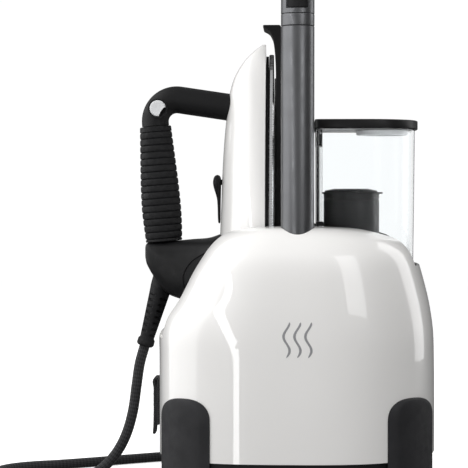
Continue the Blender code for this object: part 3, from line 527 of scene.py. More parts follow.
def slab(name, outline, axis, low, high, material, rounding=0.6, segments=3):
    """A flat outline made solid along an axis, with rounded edges."""
    place = {"z": lambda u, v, w: (u, v, w), "y": lambda u, v, w: (u, w, v), "x": lambda u, v, w: (w, u, v)}
    rings = [[place[axis](u, v, level) for u, v in outline] for level in (low, high)]
    return soften(loft(name, rings, material), rounding, segments)


def soften(piece, width, segments=3, angle=35):
    """Round a piece's sharp edges."""
    step = piece.modifiers.new("rounded_edges", "BEVEL")
    step.width = width * MM
    step.segments = segments
    step.limit_method = "ANGLE"
    step.angle_limit = math.radians(angle)
    step.harden_normals = True
    return piece


def stadium(half_width, half_height, centre=(0.0, 0.0), steps=10):
    """Outline with round ends at its left and right."""
    x, y = centre
    straight = half_width - half_height
    outline = []
    for i in range(steps + 1):
        angle = math.pi * (i / steps - 0.5)
        outline.append((x + straight + half_height * math.cos(angle), y + half_height * math.sin(angle)))
    for i in range(steps + 1):
        angle = math.pi * (i / steps + 0.5)
        outline.append((x - straight + half_height * math.cos(angle), y + half_height * math.sin(angle)))
    return outline


def cut(piece, *cutters):
    """Cut cutters out of a piece at once, and remove them."""
    for cutter in cutters:
        step = piece.modifiers.new("cut", "BOOLEAN")
        step.operation = "DIFFERENCE"
        step.solver = "EXACT"
        step.object = cutter
    apply_modifiers(piece)
    for cutter in cutters:
        bpy.data.objects.remove(cutter, do_unlink=True)
    return piece


def apply_modifiers(piece):
    """Replace a piece's mesh by what its modifiers make of it."""
    bpy.context.view_layer.update()
    depsgraph = bpy.context.evaluated_depsgraph_get()
    mesh = bpy.data.meshes.new_from_object(piece.evaluated_get(depsgraph))
    piece.modifiers.clear()
    piece.data = mesh
    return piece


def put(piece, body, slot, *nodes):
    """Let a piece ride on a body, in place of CAD nodes. The slot argument is not used."""
    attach(piece, body)
    if nodes:
        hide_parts(*nodes)
    return piece


# ---------------------------------------------------------------- camera, lights and floor

def add_camera():
    """The camera looks at the front, level and a little left of the handle's axis."""
    data = bpy.data.cameras.new("camera")
    data.lens = 133.8
    data.sensor_width = 36.0
    camera = bpy.data.objects.new("camera", data)
    bpy.context.scene.collection.objects.link(camera)
    place = at(0.0, -1374.0, 235.0)
    camera.location = place
    camera.rotation_euler = (at(-50.2, 0.0, 200.2) - place).to_track_quat("-Z", "Y").to_euler()
    bpy.context.scene.camera = camera


def add_light(name, place, target, size, power, along=(0, 0, 1)):
    """A softbox aimed at a target, with its long side along a direction."""
    data = bpy.data.lights.new(name, "AREA")
    data.shape = "RECTANGLE"
    data.size, data.size_y = size
    data.energy = power
    lamp = bpy.data.objects.new(name, data)
    bpy.context.scene.collection.objects.link(lamp)
    away = (at(*place) - at(*target)).normalized()
    across = Vector(along).cross(away).normalized()
    lamp.location = at(*place)
    lamp.rotation_euler = Matrix((across, away.cross(across), away)).transposed().to_euler()
    return lamp


def add_world():
    """Studio surroundings: bright above, dimmer below and behind, and white behind the object."""
    world = bpy.data.worlds.new("studio")
    bpy.context.scene.world = world
    world.use_nodes = True
    nodes, links = world.node_tree.nodes, world.node_tree.links
    place = nodes.new("ShaderNodeTexCoord")
    split = nodes.new("ShaderNodeSeparateXYZ")
    links.new(place.outputs["Generated"], split.inputs["Vector"])

    def ramp(source, start, end, low, high):
        """A smooth change of strength over a range of directions."""
        made = nodes.new("ShaderNodeMapRange")
        made.interpolation_type = "SMOOTHSTEP"
        for socket, value in (("From Min", start), ("From Max", end), ("To Min", low), ("To Max", high)):
            made.inputs[socket].default_value = value
        links.new(split.outputs[source], made.inputs["Value"])
        return made.outputs["Result"]

    def combine(operation, first, second):
        """Arithmetic on two outputs."""
        made = nodes.new("ShaderNodeMath")
        made.operation = operation
        links.new(first, made.inputs[0])
        links.new(second, made.inputs[1])
        return made.outputs[0]

    strength = combine("MULTIPLY", ramp("Z", -0.35, 0.65, 0.24, 0.52), ramp("Y", 0.05, 0.75, 1.0, 0.5))
    strength = combine("MULTIPLY", strength, ramp("X", 0.20, 0.80, 1.0, 0.35))
    rays = nodes.new("ShaderNodeLightPath")
    seen = combine("MAXIMUM", rays.outputs["Is Camera Ray"], rays.outputs["Is Transmission Ray"])
    mix = nodes.new("ShaderNodeMix")
    links.new(seen, mix.inputs["Factor"])
    links.new(strength, mix.inputs["A"])
    mix.inputs["B"].default_value = 1.02
    links.new(mix.outputs["Result"], nodes["Background"].inputs["Strength"])
    nodes["Background"].inputs["Color"].default_value = (1, 1, 1, 1)


def add_studio():
    """Surroundings, softboxes beside the camera and above, and a pale floor."""
    bpy.context.scene.view_settings.view_transform = "Standard"
    add_world()
    add_light("strip_low", (-371, -1246, -240), (0, 0, 160), (0.08, 0.54), 1.0)
    add_light("strip_high", (-690, -1060, 345), (0, 0, 160), (0.10, 0.98), 2.3, (-0.63, 0.40, 0.66))
    add_light("softbox_right", (740, -1180, 760), (0, 0, 200), (0.46, 1.2), 4.5)
    key = add_light("softbox_key", (-40, -430, 660), (-10, -60, 150), (0.8, 0.42), 1.6)
    key.visible_glossy = False
    add_light("softbox_left", (-1100, -60, 620), (0, 0, 170), (1.7, 1.7), 15)
    add_light("softbox_rim", (1000, 420, 560), (40, 0, 150), (0.5, 1.2), 4)
    reach = 3.0
    floor = bpy.data.meshes.new("floor")
    floor.from_pydata([(-reach, -reach, 0), (reach, -reach, 0), (reach, reach, 0), (-reach, reach, 0)],
                      [], [(0, 1, 2, 3)])
    plane = bpy.data.objects.new("floor", floor)
    bpy.context.scene.collection.objects.link(plane)
    paper = Paint("floor_paper", (0.93, 0.93, 0.93), 0.7, Specular_IOR_Level=0.1)
    paper.tint(paper.span(paper.noise(30, 4), 0.0, 1.0), (0.925, 0.925, 0.925), (0.94, 0.94, 0.94))
    paper.bump(paper.noise(900, 3), 0.02, 0.1)
    paper.shader.inputs["Emission Color"].default_value = (1, 1, 1, 1)
    paper.shader.inputs["Emission Strength"].default_value = 0.66
    floor.materials.append(paper.material)
    plane.visible_diffuse = False
    plane.visible_glossy = False


# ---------------------------------------------------------------- hose

def coil_point(angle_degrees, radius, height):
    """A point of the coil."""
    angle = math.radians(angle_degrees)
    return (COIL_CENTRE[0] + radius * math.cos(angle), COIL_CENTRE[1] + radius * math.sin(angle), height)


def hose_points():
    """The run from the iron, nearly four turns of spare hose, and the tail."""
    outer, inner = COIL_RADII
    low, middle, high = (COIL_LAYER + COIL_PITCH * layer for layer in range(3))
    turns = ((250, outer, low), (570, outer, low), (610, inner, low), (890, inner, low),
             (930, inner, middle), (1210, inner, middle), (1250, outer, middle), (1530, outer, middle),
             (1570, outer, high), (1610, inner + 4.2, high), (1634, inner + 4.2, high))
    points = list(HOSE_RUN)
    for (start, radius, height), (end, next_radius, next_height) in zip(turns, turns[1:]):
        count = max(2, round((end - start) / 18))
        for i in range(count):
            share = i / count
            ease = smooth_step(0, 1, share)
            points.append(coil_point(start + (end - start) * share,
                                     radius + (next_radius - radius) * ease,
                                     height + (next_height - height) * ease))
    points.append(coil_point(*turns[-1]))
    return points + list(HOSE_TAIL)


def add_hose():
    """Braided steam hose as one free cord from the iron's strain relief to the station."""
    path = smooth_path(hose_points(), 2.5)
    hose = tube("steam_hose_cord", path, HOSE_RADIUS, "braid", 24, 1.0)
    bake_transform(hose)
    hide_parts("steam_hose", "hose_coil", "hose_tail")
    return hose


# ---------------------------------------------------------------- housing

def shell_profile(step):
    """Sections of the housing, read smoothly at about even steps."""
    stations = [(0.0, *SHELL_SECTIONS[0])]
    for before, after in zip(SHELL_SECTIONS, SHELL_SECTIONS[1:]):
        travel = math.hypot(after[0] - before[0], after[1] - before[1])
        stations.append((stations[-1][0] + travel, *after))
    count = round(stations[-1][0] / step)
    return [curve_value(stations, stations[-1][0] * i / count) for i in range(count + 1)]


def shell_ring(section, grow, count):
    """One level ring of the housing, grown outwards by a margin."""
    height, left, right, depth = section
    ring = []
    for i in range(count):
        angle = 2 * math.pi * (i + 0.5) / count
        cosine = math.cos(angle)
        reach, power = (left, POWER_LEFT) if cosine < 0 else (right, POWER_RIGHT)
        ring.append(((reach + grow) * signed_power(cosine, 2 / power),
                     (depth + grow) * signed_power(math.sin(angle), 2 / power), height))
    return ring


def shell_front(x, z, grow):
    """How far the housing's front lies before the middle at a place, grown by a margin."""
    stations = [(section[0], *section[1:]) for section in SHELL_SECTIONS]
    left, right, depth = curve_value(stations, z)
    reach, power = (left, POWER_LEFT) if x < 0 else (right, POWER_RIGHT)
    share = min(abs(x) / (reach + grow), 1.0)
    return (depth + grow) * (1 - share ** power) ** (1 / power)


def tank_outline(grow, right_grow=0.0, count=72):
    """The tank's plan: straight along the bridge, and round at its right end."""
    half = 52.0 + grow
    reach = 90.5 + grow + right_grow - 46.0
    left = 14.4 - grow
    outline = [(left, half - 4), (left, -half + 4), (left + 1.2, -half + 1.2), (left + 4, -half)]
    for i in range(count + 1):
        angle = math.pi * (i / count - 0.5)
        outline.append((46.0 + reach * signed_power(math.cos(angle), 2 / 2.4),
                        half * signed_power(math.sin(angle), 2 / 2.4)))
    outline.extend(((left + 4, half), (left + 1.2, half - 1.2)))
    return outline


def cutter_block(outline, axis, low, high):
    """A block for cutting; its edges are hardly rounded."""
    return slab("cutter", outline, axis, low, high, "black", 0.0001, 1)


def cutter_rod(start, end, radius, sides=64):
    """A round rod for cutting."""
    return tube("cutter", (start, end), radius, "black", sides)


def add_shell():
    """White dome with the dock, the tank bay and its front notch cut out."""
    count = 220
    rings = [shell_ring(section, 0.0, count) for section in shell_profile(3.0)]
    shell = loft("housing_shell", rings, "white", caps=False)
    work = bmesh.new()
    work.from_mesh(shell.data)
    work.verts.ensure_lookup_table()
    work.faces.new([work.verts[len(work.verts) - count + i] for i in range(count)])
    bmesh.ops.recalc_face_normals(work, faces=work.faces)
    work.to_mesh(shell.data)
    work.free()
    shell.data.shade_smooth()
    wall = shell.modifiers.new("wall", "SOLIDIFY")
    wall.thickness = SHELL_WALL * MM
    wall.offset = -1.0
    dock = ((-130, 128.3), (-66, 114), (-10.9, 114), (-10.9, 240), (-130, 240))
    cutters = [cutter_block(dock, "y", -58, 58),
               cutter_block(tank_outline(3.1), "z", 91.7, 240),
               cutter_block(((72, -46), (125, -46), (125, 46), (72, 46)), "z", 177, 240),
               cutter_rod((34, 85, 120), (34, 115, 120), 8.4)]
    cutters.extend(cutter_rod((0, side * POST_Y, 140), (0, side * POST_Y, 240), POST_RADIUS + 0.3)
                   for side in (-1, 1))
    cut(shell, *cutters)
    shell.data.set_sharp_from_angle(angle=math.radians(38))
    put(shell, "root", "shell_white", "body_shell")


def pad_ring(outer, inner, inset, flank):
    """Outline of a corner pad: square below and round above; its inner side draws back by a flank."""
    side = 1 if inner > outer else -1
    inner = inner - side * flank
    middle, reach = (outer + inner) / 2, abs(inner - outer) / 2 - inset
    bottom, top = 7.0 + inset, 63.5
    outline = [(middle - reach + 2 * reach * i / 8, bottom) for i in range(9)]
    outline.extend((middle + reach, bottom + (top - bottom) * i / 12) for i in range(1, 12))
    for i in range(49):
        angle = math.pi * i / 48
        outline.append((middle + reach * signed_power(math.cos(angle), 2 / 2.4),
                        top + (16.5 - inset) * signed_power(math.sin(angle), 2 / 2.4)))
    outline.extend((middle - reach, top + (bottom - top) * i / 12) for i in range(1, 12))
    return outline


def add_corner_pads():
    """Matte pads with a rounded rim, and a flank that slopes to the housing on the inner side."""
    levels = ((0.0, 0.3, 0.0), (0.0, 1.0, 0.3), (0.1, 2.1, 3.6), (0.4, 3.0, 6.2), (0.9, 3.3, 7.0),
              (2.0, 3.45, 7.2), (5.0, 3.5, 7.2), (9.0, 3.5, 7.2), (12.5, 3.5, 7.2), (14.6, 3.5, 7.2))
    for side, outer, inner in (("left", -103.0, -64.6), ("right", 103.0, 66.8)):
        for end, turn in (("front", -1), ("rear", 1)):
            rings = []
            for inset, grow, flank in levels:
                rings.append([(x, turn * shell_front(x, max(z, 33.2), grow), z)
                              for x, z in pad_ring(outer, inner, inset, flank)])
            pad = loft(f"pad_{end}_{side}", rings, "pad", sharp=60)
            put(pad, "root", "pad_charcoal", f"corner_pad_{end}_{side}")


def add_feet():
    """Rubber feet with a tread groove, and the screws of the tray."""
    profile = ((0, 5.7), (9, 5.7), (9, 1.0), (8.6, 0.3), (8, 0), (6.2, 0), (5.9, 0.5), (4.6, 0.5),
               (4.3, 0), (0, 0))
    for name, (x, y) in zip(("front_left", "front_right", "rear_left", "rear_right"),
                            ((-74, -68), (72, -68), (-74, 68), (72, 68))):
        foot = lathe(f"foot_{name}", profile, (x, y, 0), (0, 0, 1), "foot", 48)
        put(foot, "root", "foot_rubber", f"rubber_foot_{name}")
    head = ((0, 4.9), (1.0, 4.9), (1.3, 4.3), (2.9, 4.3), (3.2, 4.6), (3.2, 5.9), (0, 5.9))
    for number, (x, y) in enumerate(((-48, -80), (48, -80), (-48, 80), (48, 80), (-92, 0), (92, 0))):
        screw = lathe(f"tray_screw_{number}", head, (x, y, 0), (0, 0, 1), "steel", 24)
        put(screw, "root", "steel")


def add_symbol():
    """Three wavy lines of rising steam, printed on the front."""
    section = ((-1, -0.1), (-1, 0.1), (-0.5, 0.16), (0.5, 0.16), (1, 0.1), (1, -0.1))
    for number, middle in enumerate((-8.0, 0.0, 8.0)):
        rings = []
        for i in range(41):
            share = i / 40
            z = 112.0 + 26.0 * share
            x = middle + 2.2 * math.sin(2 * math.pi * share * 1.25)
            half = 0.95 * math.sqrt(max(1 - (2 * share - 1) ** 8, 0.02))
            rings.append([(x + dx * half, -shell_front(x + dx * half, z, grow), z) for dx, grow in section])
        put(loft(f"steam_symbol_{number}", rings, "mark", sharp=60), "root", None)


# ---------------------------------------------------------------- carry handle

def add_handle():
    """Posts, collars and the arch with its textured inset."""
    for end, side in (("front", -1), ("rear", 1)):
        post = round_profile([(0, 150.0), (POST_RADIUS, 150.0), (POST_RADIUS, 356.8), (0, 356.8)], 0.5)
        put(lathe(f"post_{end}", post, (0, side * POST_Y, 0), (0, 0, 1), "post", 96, 60),
            "root", "post_anthracite", f"handle_post_{end}")
        collar = round_profile([(0, 357.1), (POST_RADIUS, 357.1), (POST_RADIUS, 366.0), (0, 366.0)], 0.5)
        put(lathe(f"collar_{end}", collar, (0, side * POST_Y, 0), (0, 0, 1), "post", 96, 60),
            "root", "post_anthracite", f"handle_collar_{end}")
    foot = 366.3
    corners = ((0, -POST_Y, foot), (0, -POST_Y, 415.5), (0, POST_Y, 415.5), (0, POST_Y, foot))
    steps = 28
    path = rounded_path(corners, 40.0, steps)
    arch = tube("carry_arch", path, POST_RADIUS, "post", 96)
    inner = rounded_path([(x, y, max(z, foot + 3.5)) for x, y, z in corners], 40.0, steps)
    cut(arch, swept("cutter", inner, inset_outline(15.5, 0.768, 7.4), "black"))
    arch.data.set_sharp_from_angle(angle=math.radians(30))
    soften(arch, 0.35, 2, 30)
    put(arch, "root", "post_anthracite", "handle_arch")
    inner[0] = inner[0] + Vector((0, 0, 0.4))
    inner[-1] = inner[-1] + Vector((0, 0, 0.4))
    inset = swept("carry_inset", inner, inset_outline(11.5, 0.72, 7.7), "inset", 50)
    soften(inset, 0.5, 2, 50)
    put(inset, "root", "grip_rubber", "handle_inset")


def inset_outline(radius, half_angle, base):
    """Section of the inset: an arc on its outer side and a flat base."""
    half = min(radius, POST_RADIUS) * math.sin(half_angle)
    outline = [(half, base)]
    for i in range(17):
        angle = half_angle * (1 - i / 8)
        outline.append((half * math.sin(angle) / math.sin(half_angle), radius * math.cos(angle)))
    outline.append((-half, base))
    return outline


def add_rest_plate():
    """Plate that the iron leans on, with soft strips and a hook over the iron's tip."""
    outline = [(-13.0, 184.0), (-13.0, 361.8), (-13.4, 362.6), (-14.2, 363.0), (-26.2, 363.0),
               (-26.9, 362.7), (-27.0, 362.0), (-26.6, 361.2), (-23.5, 359.6), (-21.8, 358.2),
               (-20.6, 356.0), (-19.5, 353.4), (-18.8, 350.0), (-18.1, 345.0), (-17.6, 340.0),
               (-17.2, 333.0), (-17.0, 325.0), (-17.0, 184.0)]
    plate = slab("rest_plate", outline, "y", -22, 22, "satin", 0.6, 3)
    put(plate, "root", "satin_black", "iron_rest_plate")
    for number, y in enumerate((-15.0, 15.0)):
        outline = [(v, u) for u, v in stadium(60, 3, (262, y))]
        put(slab(f"rest_strip_{number}", outline, "x", -18.0, -16.9, "silicone", 0.4), "root", "silicone")


def add_strap():
    """Folded webbing with an eye at its top, stitched across."""
    path = smooth_path([(-113.0, 0, 42.7), (-112.6, 0, 50.0), (-112.4, 0, 60.0), (-112.4, 0, 70.0),
                        (-112.4, 0, 79.0), (-112.9, 0, 82.2), (-113.1, 0, 84.2), (-112.6, 0, 85.7),
                        (-111.3, 0, 86.3), (-110.1, 0, 85.7), (-109.6, 0, 84.2), (-109.8, 0, 82.2),
                        (-110.1, 0, 79.0), (-110.1, 0, 66.0), (-110.0, 0, 49.8)], 0.4)
    rings = []
    for i, place in enumerate(path):
        ahead = (path[min(i + 1, len(path) - 1)] - path[max(i - 1, 0)]).normalized()
        out = Vector((-ahead.z, 0, ahead.x))
        rings.append([tuple(place + Vector((0, u, 0)) + out * v) for u, v in
                      ((-9.7, 1.0), (-10.0, 0.7), (-10.0, -0.7), (-9.7, -1.0), (9.7, -1.0),
                       (10.0, -0.7), (10.0, 0.7), (9.7, 1.0))])
    strap = loft("webbing_loop", rings, "webbing", sharp=60, uv_scale=1.0)
    put(strap, "root", "woven_black", "hose_strap")
    for number, height in enumerate((58.0, 66.0, 74.0)):
        run = [(x, y, height) for x, y in ((-113.4, -8.2), (-113.5, -4), (-113.5, 4), (-113.4, 8.2))]
        stitch = tube(f"strap_stitch_{number}", run, 0.35, "mark", 10)
        put(stitch, "root", "woven_black")


# ---------------------------------------------------------------- iron

COVER_STATIONS = (
    (118.0, 26.0), (121.0, 31.5), (127.0, 34.6), (140.0, 36.0), (170.0, 36.3), (200.0, 36.1),
    (222.0, 35.2), (244.0, 34.5), (270.0, 33.1), (290.0, 31.3), (303.0, 29.6), (312.0, 28.4),
    (322.6, 25.3), (331.0, 20.9), (339.0, 15.0), (345.6, 7.9), (349.4, 2.6),
)
COVER_RIGHT = -24.9
ELBOW_RADIUS = 10.65
ELBOW_CORNERS = ((-46.0, 0, 299.0), (-114.1, 0, 309.2), (-112.2, 0, 285.5))
BUTTON_PLACE = (-109.6, 299.0)
GRIP_STATIONS = (
    (194.7, -105.6, 28.6), (205.0, -106.3, 30.0), (219.0, -107.5, 31.0), (236.0, -108.8, 30.3),
    (254.0, -110.1, 28.4), (272.0, -111.4, 26.2), (285.0, -112.3, 24.5),
)
HEEL_STATIONS = (
    (-119.8, 180.5, 191.6, 9.0), (-118.6, 176.0, 193.1, 12.5), (-112.5, 165.5, 193.6, 15.5),
    (-104.0, 154.5, 194.3, 17.0), (-94.4, 149.7, 195.1, 18.5), (-82.0, 147.3, 196.2, 21.5),
    (-70.0, 146.2, 197.2, 26.0), (-62.0, 146.0, 199.8, 30.0), (-54.0, 146.0, 203.0, 33.0),
)
BOOT_ROOT = Vector((-107.8, 0.0, 158.8))
BOOT_DIRECTION = Vector((-0.269, 0.0, -0.963)).normalized()
BOOT_LENGTH = 49.1
LEVER_HEIGHT = 241.0


def cover_half_width(height):
    """Half the width of the iron's cover at a height."""
    reach = min(max(350.0 - height, 0.0) / 190.0, 1.0)
    half = 55.0 * math.sin(math.pi / 2 * reach) ** 0.75
    below = max(132.0 - height, 0.0)
    return half - 14.0 + math.sqrt(max(196.0 - below ** 2, 0.0))


def cover_rings(grow, open_side, step, count=48):
    """Rings of the cover: a flat open side on the right and a dome on the left."""
    stations = [(0.0, *COVER_STATIONS[0])]
    for before, after in zip(COVER_STATIONS, COVER_STATIONS[1:]):
        travel = math.hypot(after[0] - before[0], after[1] - before[1])
        stations.append((stations[-1][0] + travel, *after))
    total = round(stations[-1][0] / step)
    right = COVER_RIGHT + max(grow, 0.0) + open_side
    rings = []
    for k in range(total + 1):
        height, depth = curve_value(stations, stations[-1][0] * k / total)
        half = cover_half_width(height) + grow
        reach = depth + grow
        if half < 0.6 or reach < 0.6:
            continue
        ring = [(right, half, height)]
        for i in range(count + 1):
            angle = math.pi * i / count
            ring.append((COVER_RIGHT - reach * signed_power(math.sin(angle), 2 / 2.2),
                         half * signed_power(math.cos(angle), 2 / 2.2), height))
        ring.append((right, -half, height))
        rings.append(ring)
    rings[0] = [(x, y, z - grow) for x, y, z in rings[0]]
    rings[-1] = [(x, y, z + grow) for x, y, z in rings[-1]]
    return rings


def add_cover():
    """White cover of the iron with its handle mouth and lever hole."""
    step = 3.0
    cover = loft("iron_hood", cover_rings(0.0, 0.0, step), "white")
    start, corner = Vector(ELBOW_CORNERS[0]), Vector(ELBOW_CORNERS[1])
    ahead = (corner - start).normalized()
    cut(cover, loft("cutter", cover_rings(-2.2, 6.0, 6.0), "black"),
        cutter_rod(start - ahead * 4, start + ahead * 24, ELBOW_RADIUS + 0.3),
        cutter_rod((-70, 0, LEVER_HEIGHT), (-45, 0, LEVER_HEIGHT), 2.6))
    cover.data.set_sharp_from_angle(angle=math.radians(38))
    put(cover, "iron", "shell_white", "iron_cover")


def add_elbow():
    """Satin elbow of the handle with its button boss, and the two buttons."""
    path = rounded_path(ELBOW_CORNERS, 17.0, 30)
    elbow = tube("elbow", path, ELBOW_RADIUS, "satin", 80)
    x, z = BUTTON_PLACE
    boss = cutter_rod((x, -11.6, z), (x, 11.6, z), 7.6)
    join = elbow.modifiers.new("boss", "BOOLEAN")
    join.operation = "UNION"
    join.object = boss
    apply_modifiers(elbow)
    bpy.data.objects.remove(boss, do_unlink=True)
    cut(elbow, *(cutter_rod((x, side * 7.3, z), (x, side * 16, z), 6.6) for side in (-1, 1)))
    elbow.data.set_sharp_from_angle(angle=math.radians(35))
    soften(elbow, 0.3, 2, 40)
    put(elbow, "iron", "satin_black", "handle_elbow")
    face = ((0, 9.6), (6.3, 9.6), (6.3, 12.1), (6.1, 12.55), (5.6, 12.8), (4.4, 12.72), (2.4, 12.55),
            (0, 12.5))
    for end, side in (("front", -1), ("rear", 1)):
        button = lathe(f"steam_key_{end}", face, (x, 0, z), (0, side, 0), "grey", 64)
        cut(button, cutter_rod((x + 12.5, side * 8.0, z - 8.9), (x + 12.5, side * 16.0, z - 8.9), 12.0))
        soften(button, 0.3, 2, 50)
        put(button, f"steam_button_{end}", "light_grey", f"steam_button_{end}")


def add_grip():
    """Grip with its fine ribs and a plain band at the top."""
    low, high, pitch = 194.45, 285.0, 5.25
    count = round((high - low) / pitch * (16))
    sides = 72
    rings = []
    for k in range(count + 1):
        height = low + (high - low) * k / count
        middle, width = curve_value(GRIP_STATIONS, height)
        groove = 0.0
        if low + 1.0 < height < 280.8:
            share = abs((280.8 - height) / pitch % 1.0 * 2 - 1)
            groove = 0.35 * share ** 2 + 0.85 * share ** 12
        end = min(height - low, 0.5, high - height)
        groove += 0.5 - math.sqrt(max(0.25 - (0.5 - end) ** 2, 0.0))
        half_x, half_y = width / 2 - groove, width * 0.48 - groove
        ring = []
        for i in range(sides):
            angle = 2 * math.pi * i / sides
            x = half_x * signed_power(math.cos(angle), 2 / 2.2)
            ring.append((middle + x, half_y * signed_power(math.sin(angle), 2 / 2.2), height + x * 0.084))
        rings.append(ring)
    grip = loft("ribbed_grip", rings, "rubber", sharp=55)
    cut(grip, cutter_rod((-113, 0, 294), (-105, 0, 186), 7.9, 32))
    grip.data.set_sharp_from_angle(angle=math.radians(55))
    put(grip, "iron", "grip_rubber", "handle_grip")


def heel_section(x):
    """Lowest, highest and half width of the heel at a place."""
    return curve_value(HEEL_STATIONS, x)


def add_heel():
    """Black heel with a seam drawn like an arch on each side, and the slotted strain relief."""
    first, last = HEEL_STATIONS[0][0], HEEL_STATIONS[-1][0]
    count = 60
    rings = []
    for k in range(count + 1):
        x = first + (last - first) * (k / count) ** 1.5
        low, high, half = heel_section(x)
        middle, reach = (low + high) / 2, (high - low) / 2
        ring = []
        for i in range(72):
            angle = 2 * math.pi * i / 72
            ring.append((x, half * signed_power(math.cos(angle), 2 / 3.6),
                         middle + reach * signed_power(math.sin(angle), 2 / 3.6)))
        rings.append(ring)
    heel = loft("heel_block", rings, "black", sharp=50)
    cutters = [loft("cutter", cover_rings(0.35, 0.0, 6.0), "black"),
               cutter_rod(BOOT_ROOT - BOOT_DIRECTION * 9, BOOT_ROOT + BOOT_DIRECTION * 8, 8.9)]
    arch = smooth_path([(-68.0, 0, 187.0), (-75.4, 0, 183.7), (-82.5, 0, 178.6), (-86.5, 0, 173.4),
                        (-88.6, 0, 168.5), (-88.9, 0, 164.7), (-87.7, 0, 156.8)], 1.5)
    for side in (-1, 1):
        line = []
        for place in arch:
            low, high, half = heel_section(place.x)
            share = abs(place.z - (low + high) / 2) / ((high - low) / 2)
            line.append((place.x, side * half * (1 - share ** 3.6) ** (1 / 3.6), place.z))
        cutters.append(tube("cutter", line, 0.75, "black", 10))
    cut(heel, *cutters)
    heel.data.set_sharp_from_angle(angle=math.radians(40))
    put(heel, "iron", "black_plastic", "iron_heel")
    add_boot()


def add_boot():
    """Strain relief with pairs of slots and an end collar."""
    end = BOOT_LENGTH
    outline = [(0, -8.0), (8.5, -8.0), (8.5, 0), (8.0, 6)]
    for i in range(1, 160):
        distance = 6 + (end - 14.5) * i / 160
        outline.append((8.0 - 2.3 * (distance - 6) / (end - 14), distance))
    outline.extend(((5.6, end - 7), (6.1, end - 6.2), (6.7, end - 5.6), (6.9, end - 2.0), (6.6, end - 1.0),
                    (5.6, end), (0, end)))

    def slots(radius, distance, angle):
        """Sink the radius inside the slots, which lie in four rows between the sides."""
        if not 7.0 < distance < end - 8.0:
            return radius
        row = 0.5 if math.sin(angle) * math.cos(angle) < 0 else 0.0
        along = ((distance - 7.0) / 5.0 + row) % 1.0
        width = math.sin(2 * angle) ** 2
        depth = smooth_step(0.30, 0.55, width) * smooth_step(0.0, 0.08, 0.21 - abs(along - 0.5))
        return radius - 1.8 * depth

    steps = 96
    boot = lathe("slotted_boot", outline, BOOT_ROOT, BOOT_DIRECTION, "rubber", steps, 50, slots)
    put(boot, "iron", "black_plastic", "hose_boot")


def add_lever():
    """Thermostat lever: a thumb-sized teardrop that thins into a blade, on its shaft."""
    stations = ((208.7, -62.3, -61.4, 0.7), (209.6, -62.7, -61.0, 1.3), (214.0, -63.0, -60.8, 2.1),
                (222.0, -63.2, -60.7, 2.9), (228.0, -63.7, -60.6, 3.6), (232.0, -64.7, -60.5, 4.4),
                (236.5, -66.1, -60.4, 5.5), (240.5, -66.8, -60.3, 6.0), (243.6, -66.5, -60.4, 5.4),
                (245.6, -65.7, -61.0, 4.0), (246.5, -64.7, -61.8, 2.4), (246.9, -63.7, -62.7, 0.9))
    rings = []
    for k in range(61):
        height = 208.7 + 38.2 * k / 60
        left, right, half = curve_value(stations, height)
        ring = []
        for i in range(32):
            angle = 2 * math.pi * i / 32
            ring.append(((left + right) / 2 + (right - left) / 2 * signed_power(math.cos(angle), 2 / 2.4),
                         half * signed_power(math.sin(angle), 2 / 2.4), height))
        rings.append(ring)
    put(loft("lever_thumb", rings, "satin", sharp=70), "thermostat", "satin_black", "thermostat_lever")
    shaft = [(0, 0), (2.2, 0), (2.2, 11.5), (0, 11.5)]
    put(lathe("lever_shaft", shaft, (-50, 0, LEVER_HEIGHT), (-1, 0, 0), "satin", 32, 50),
        "thermostat", "satin_black")


# ---------------------------------------------------------------- water tank

def add_tank():
    """Clear tank that widens slightly to its rim, and its cartridge."""
    rings = []
    for height, grow, right in ((98.0, -2.6, 0.0), (98.5, -1.2, 0.0), (99.8, -0.4, 0.0),
                                (104.0, -0.35, 0.0), (190.0, -0.2, 0.6), (281.0, 0.0, 1.3)):
        rings.append([(x, y, height) for x, y in tank_outline(grow, right)])
    tank = loft("clear_tank", rings, "clear", caps=True, sharp=50)
    inner = [[(x, y, height) for x, y in tank_outline(grow - 1.8, right)]
             for height, grow, right in ((99.8, -2.4, 0.0), (101.4, -0.4, 0.0), (190.0, -0.2, 0.6),
                                         (300.0, 0.0, 1.4))]
    cut(tank, loft("cutter", inner, "black"),
        cutter_block(((-18.4, 268.6), (18.4, 268.6), (18.4, 300), (-18.4, 300)), "x", 8, 20),
        cutter_rod((52, 0, 90), (52, 0, 104), 5.3))
    tank.data.set_sharp_from_angle(angle=math.radians(40))
    put(tank, "tank", "tank_clear", "water_tank")
    body = [(0, 236), (13.6, 236), (14.2, 235.8), (20.4, 234.6), (20.8, 234.2), (20.8, 233.4),
            (24.7, 233.4), (25, 233.1), (25, 232.2), (24.7, 231.9), (22.3, 231.9), (22.3, 228.2),
            (21.9, 227.9), (21.9, 227.1), (22.3, 226.8), (22.3, 101.0), (21.7, 100.2), (19.5, 100.2),
            (19.5, 111), (0, 111)]
    put(lathe("cartridge_body", body, (42, 0, 0), (0, 0, 1), "cartridge", 96), "cartridge",
        "cartridge_charcoal", "filter_cartridge")


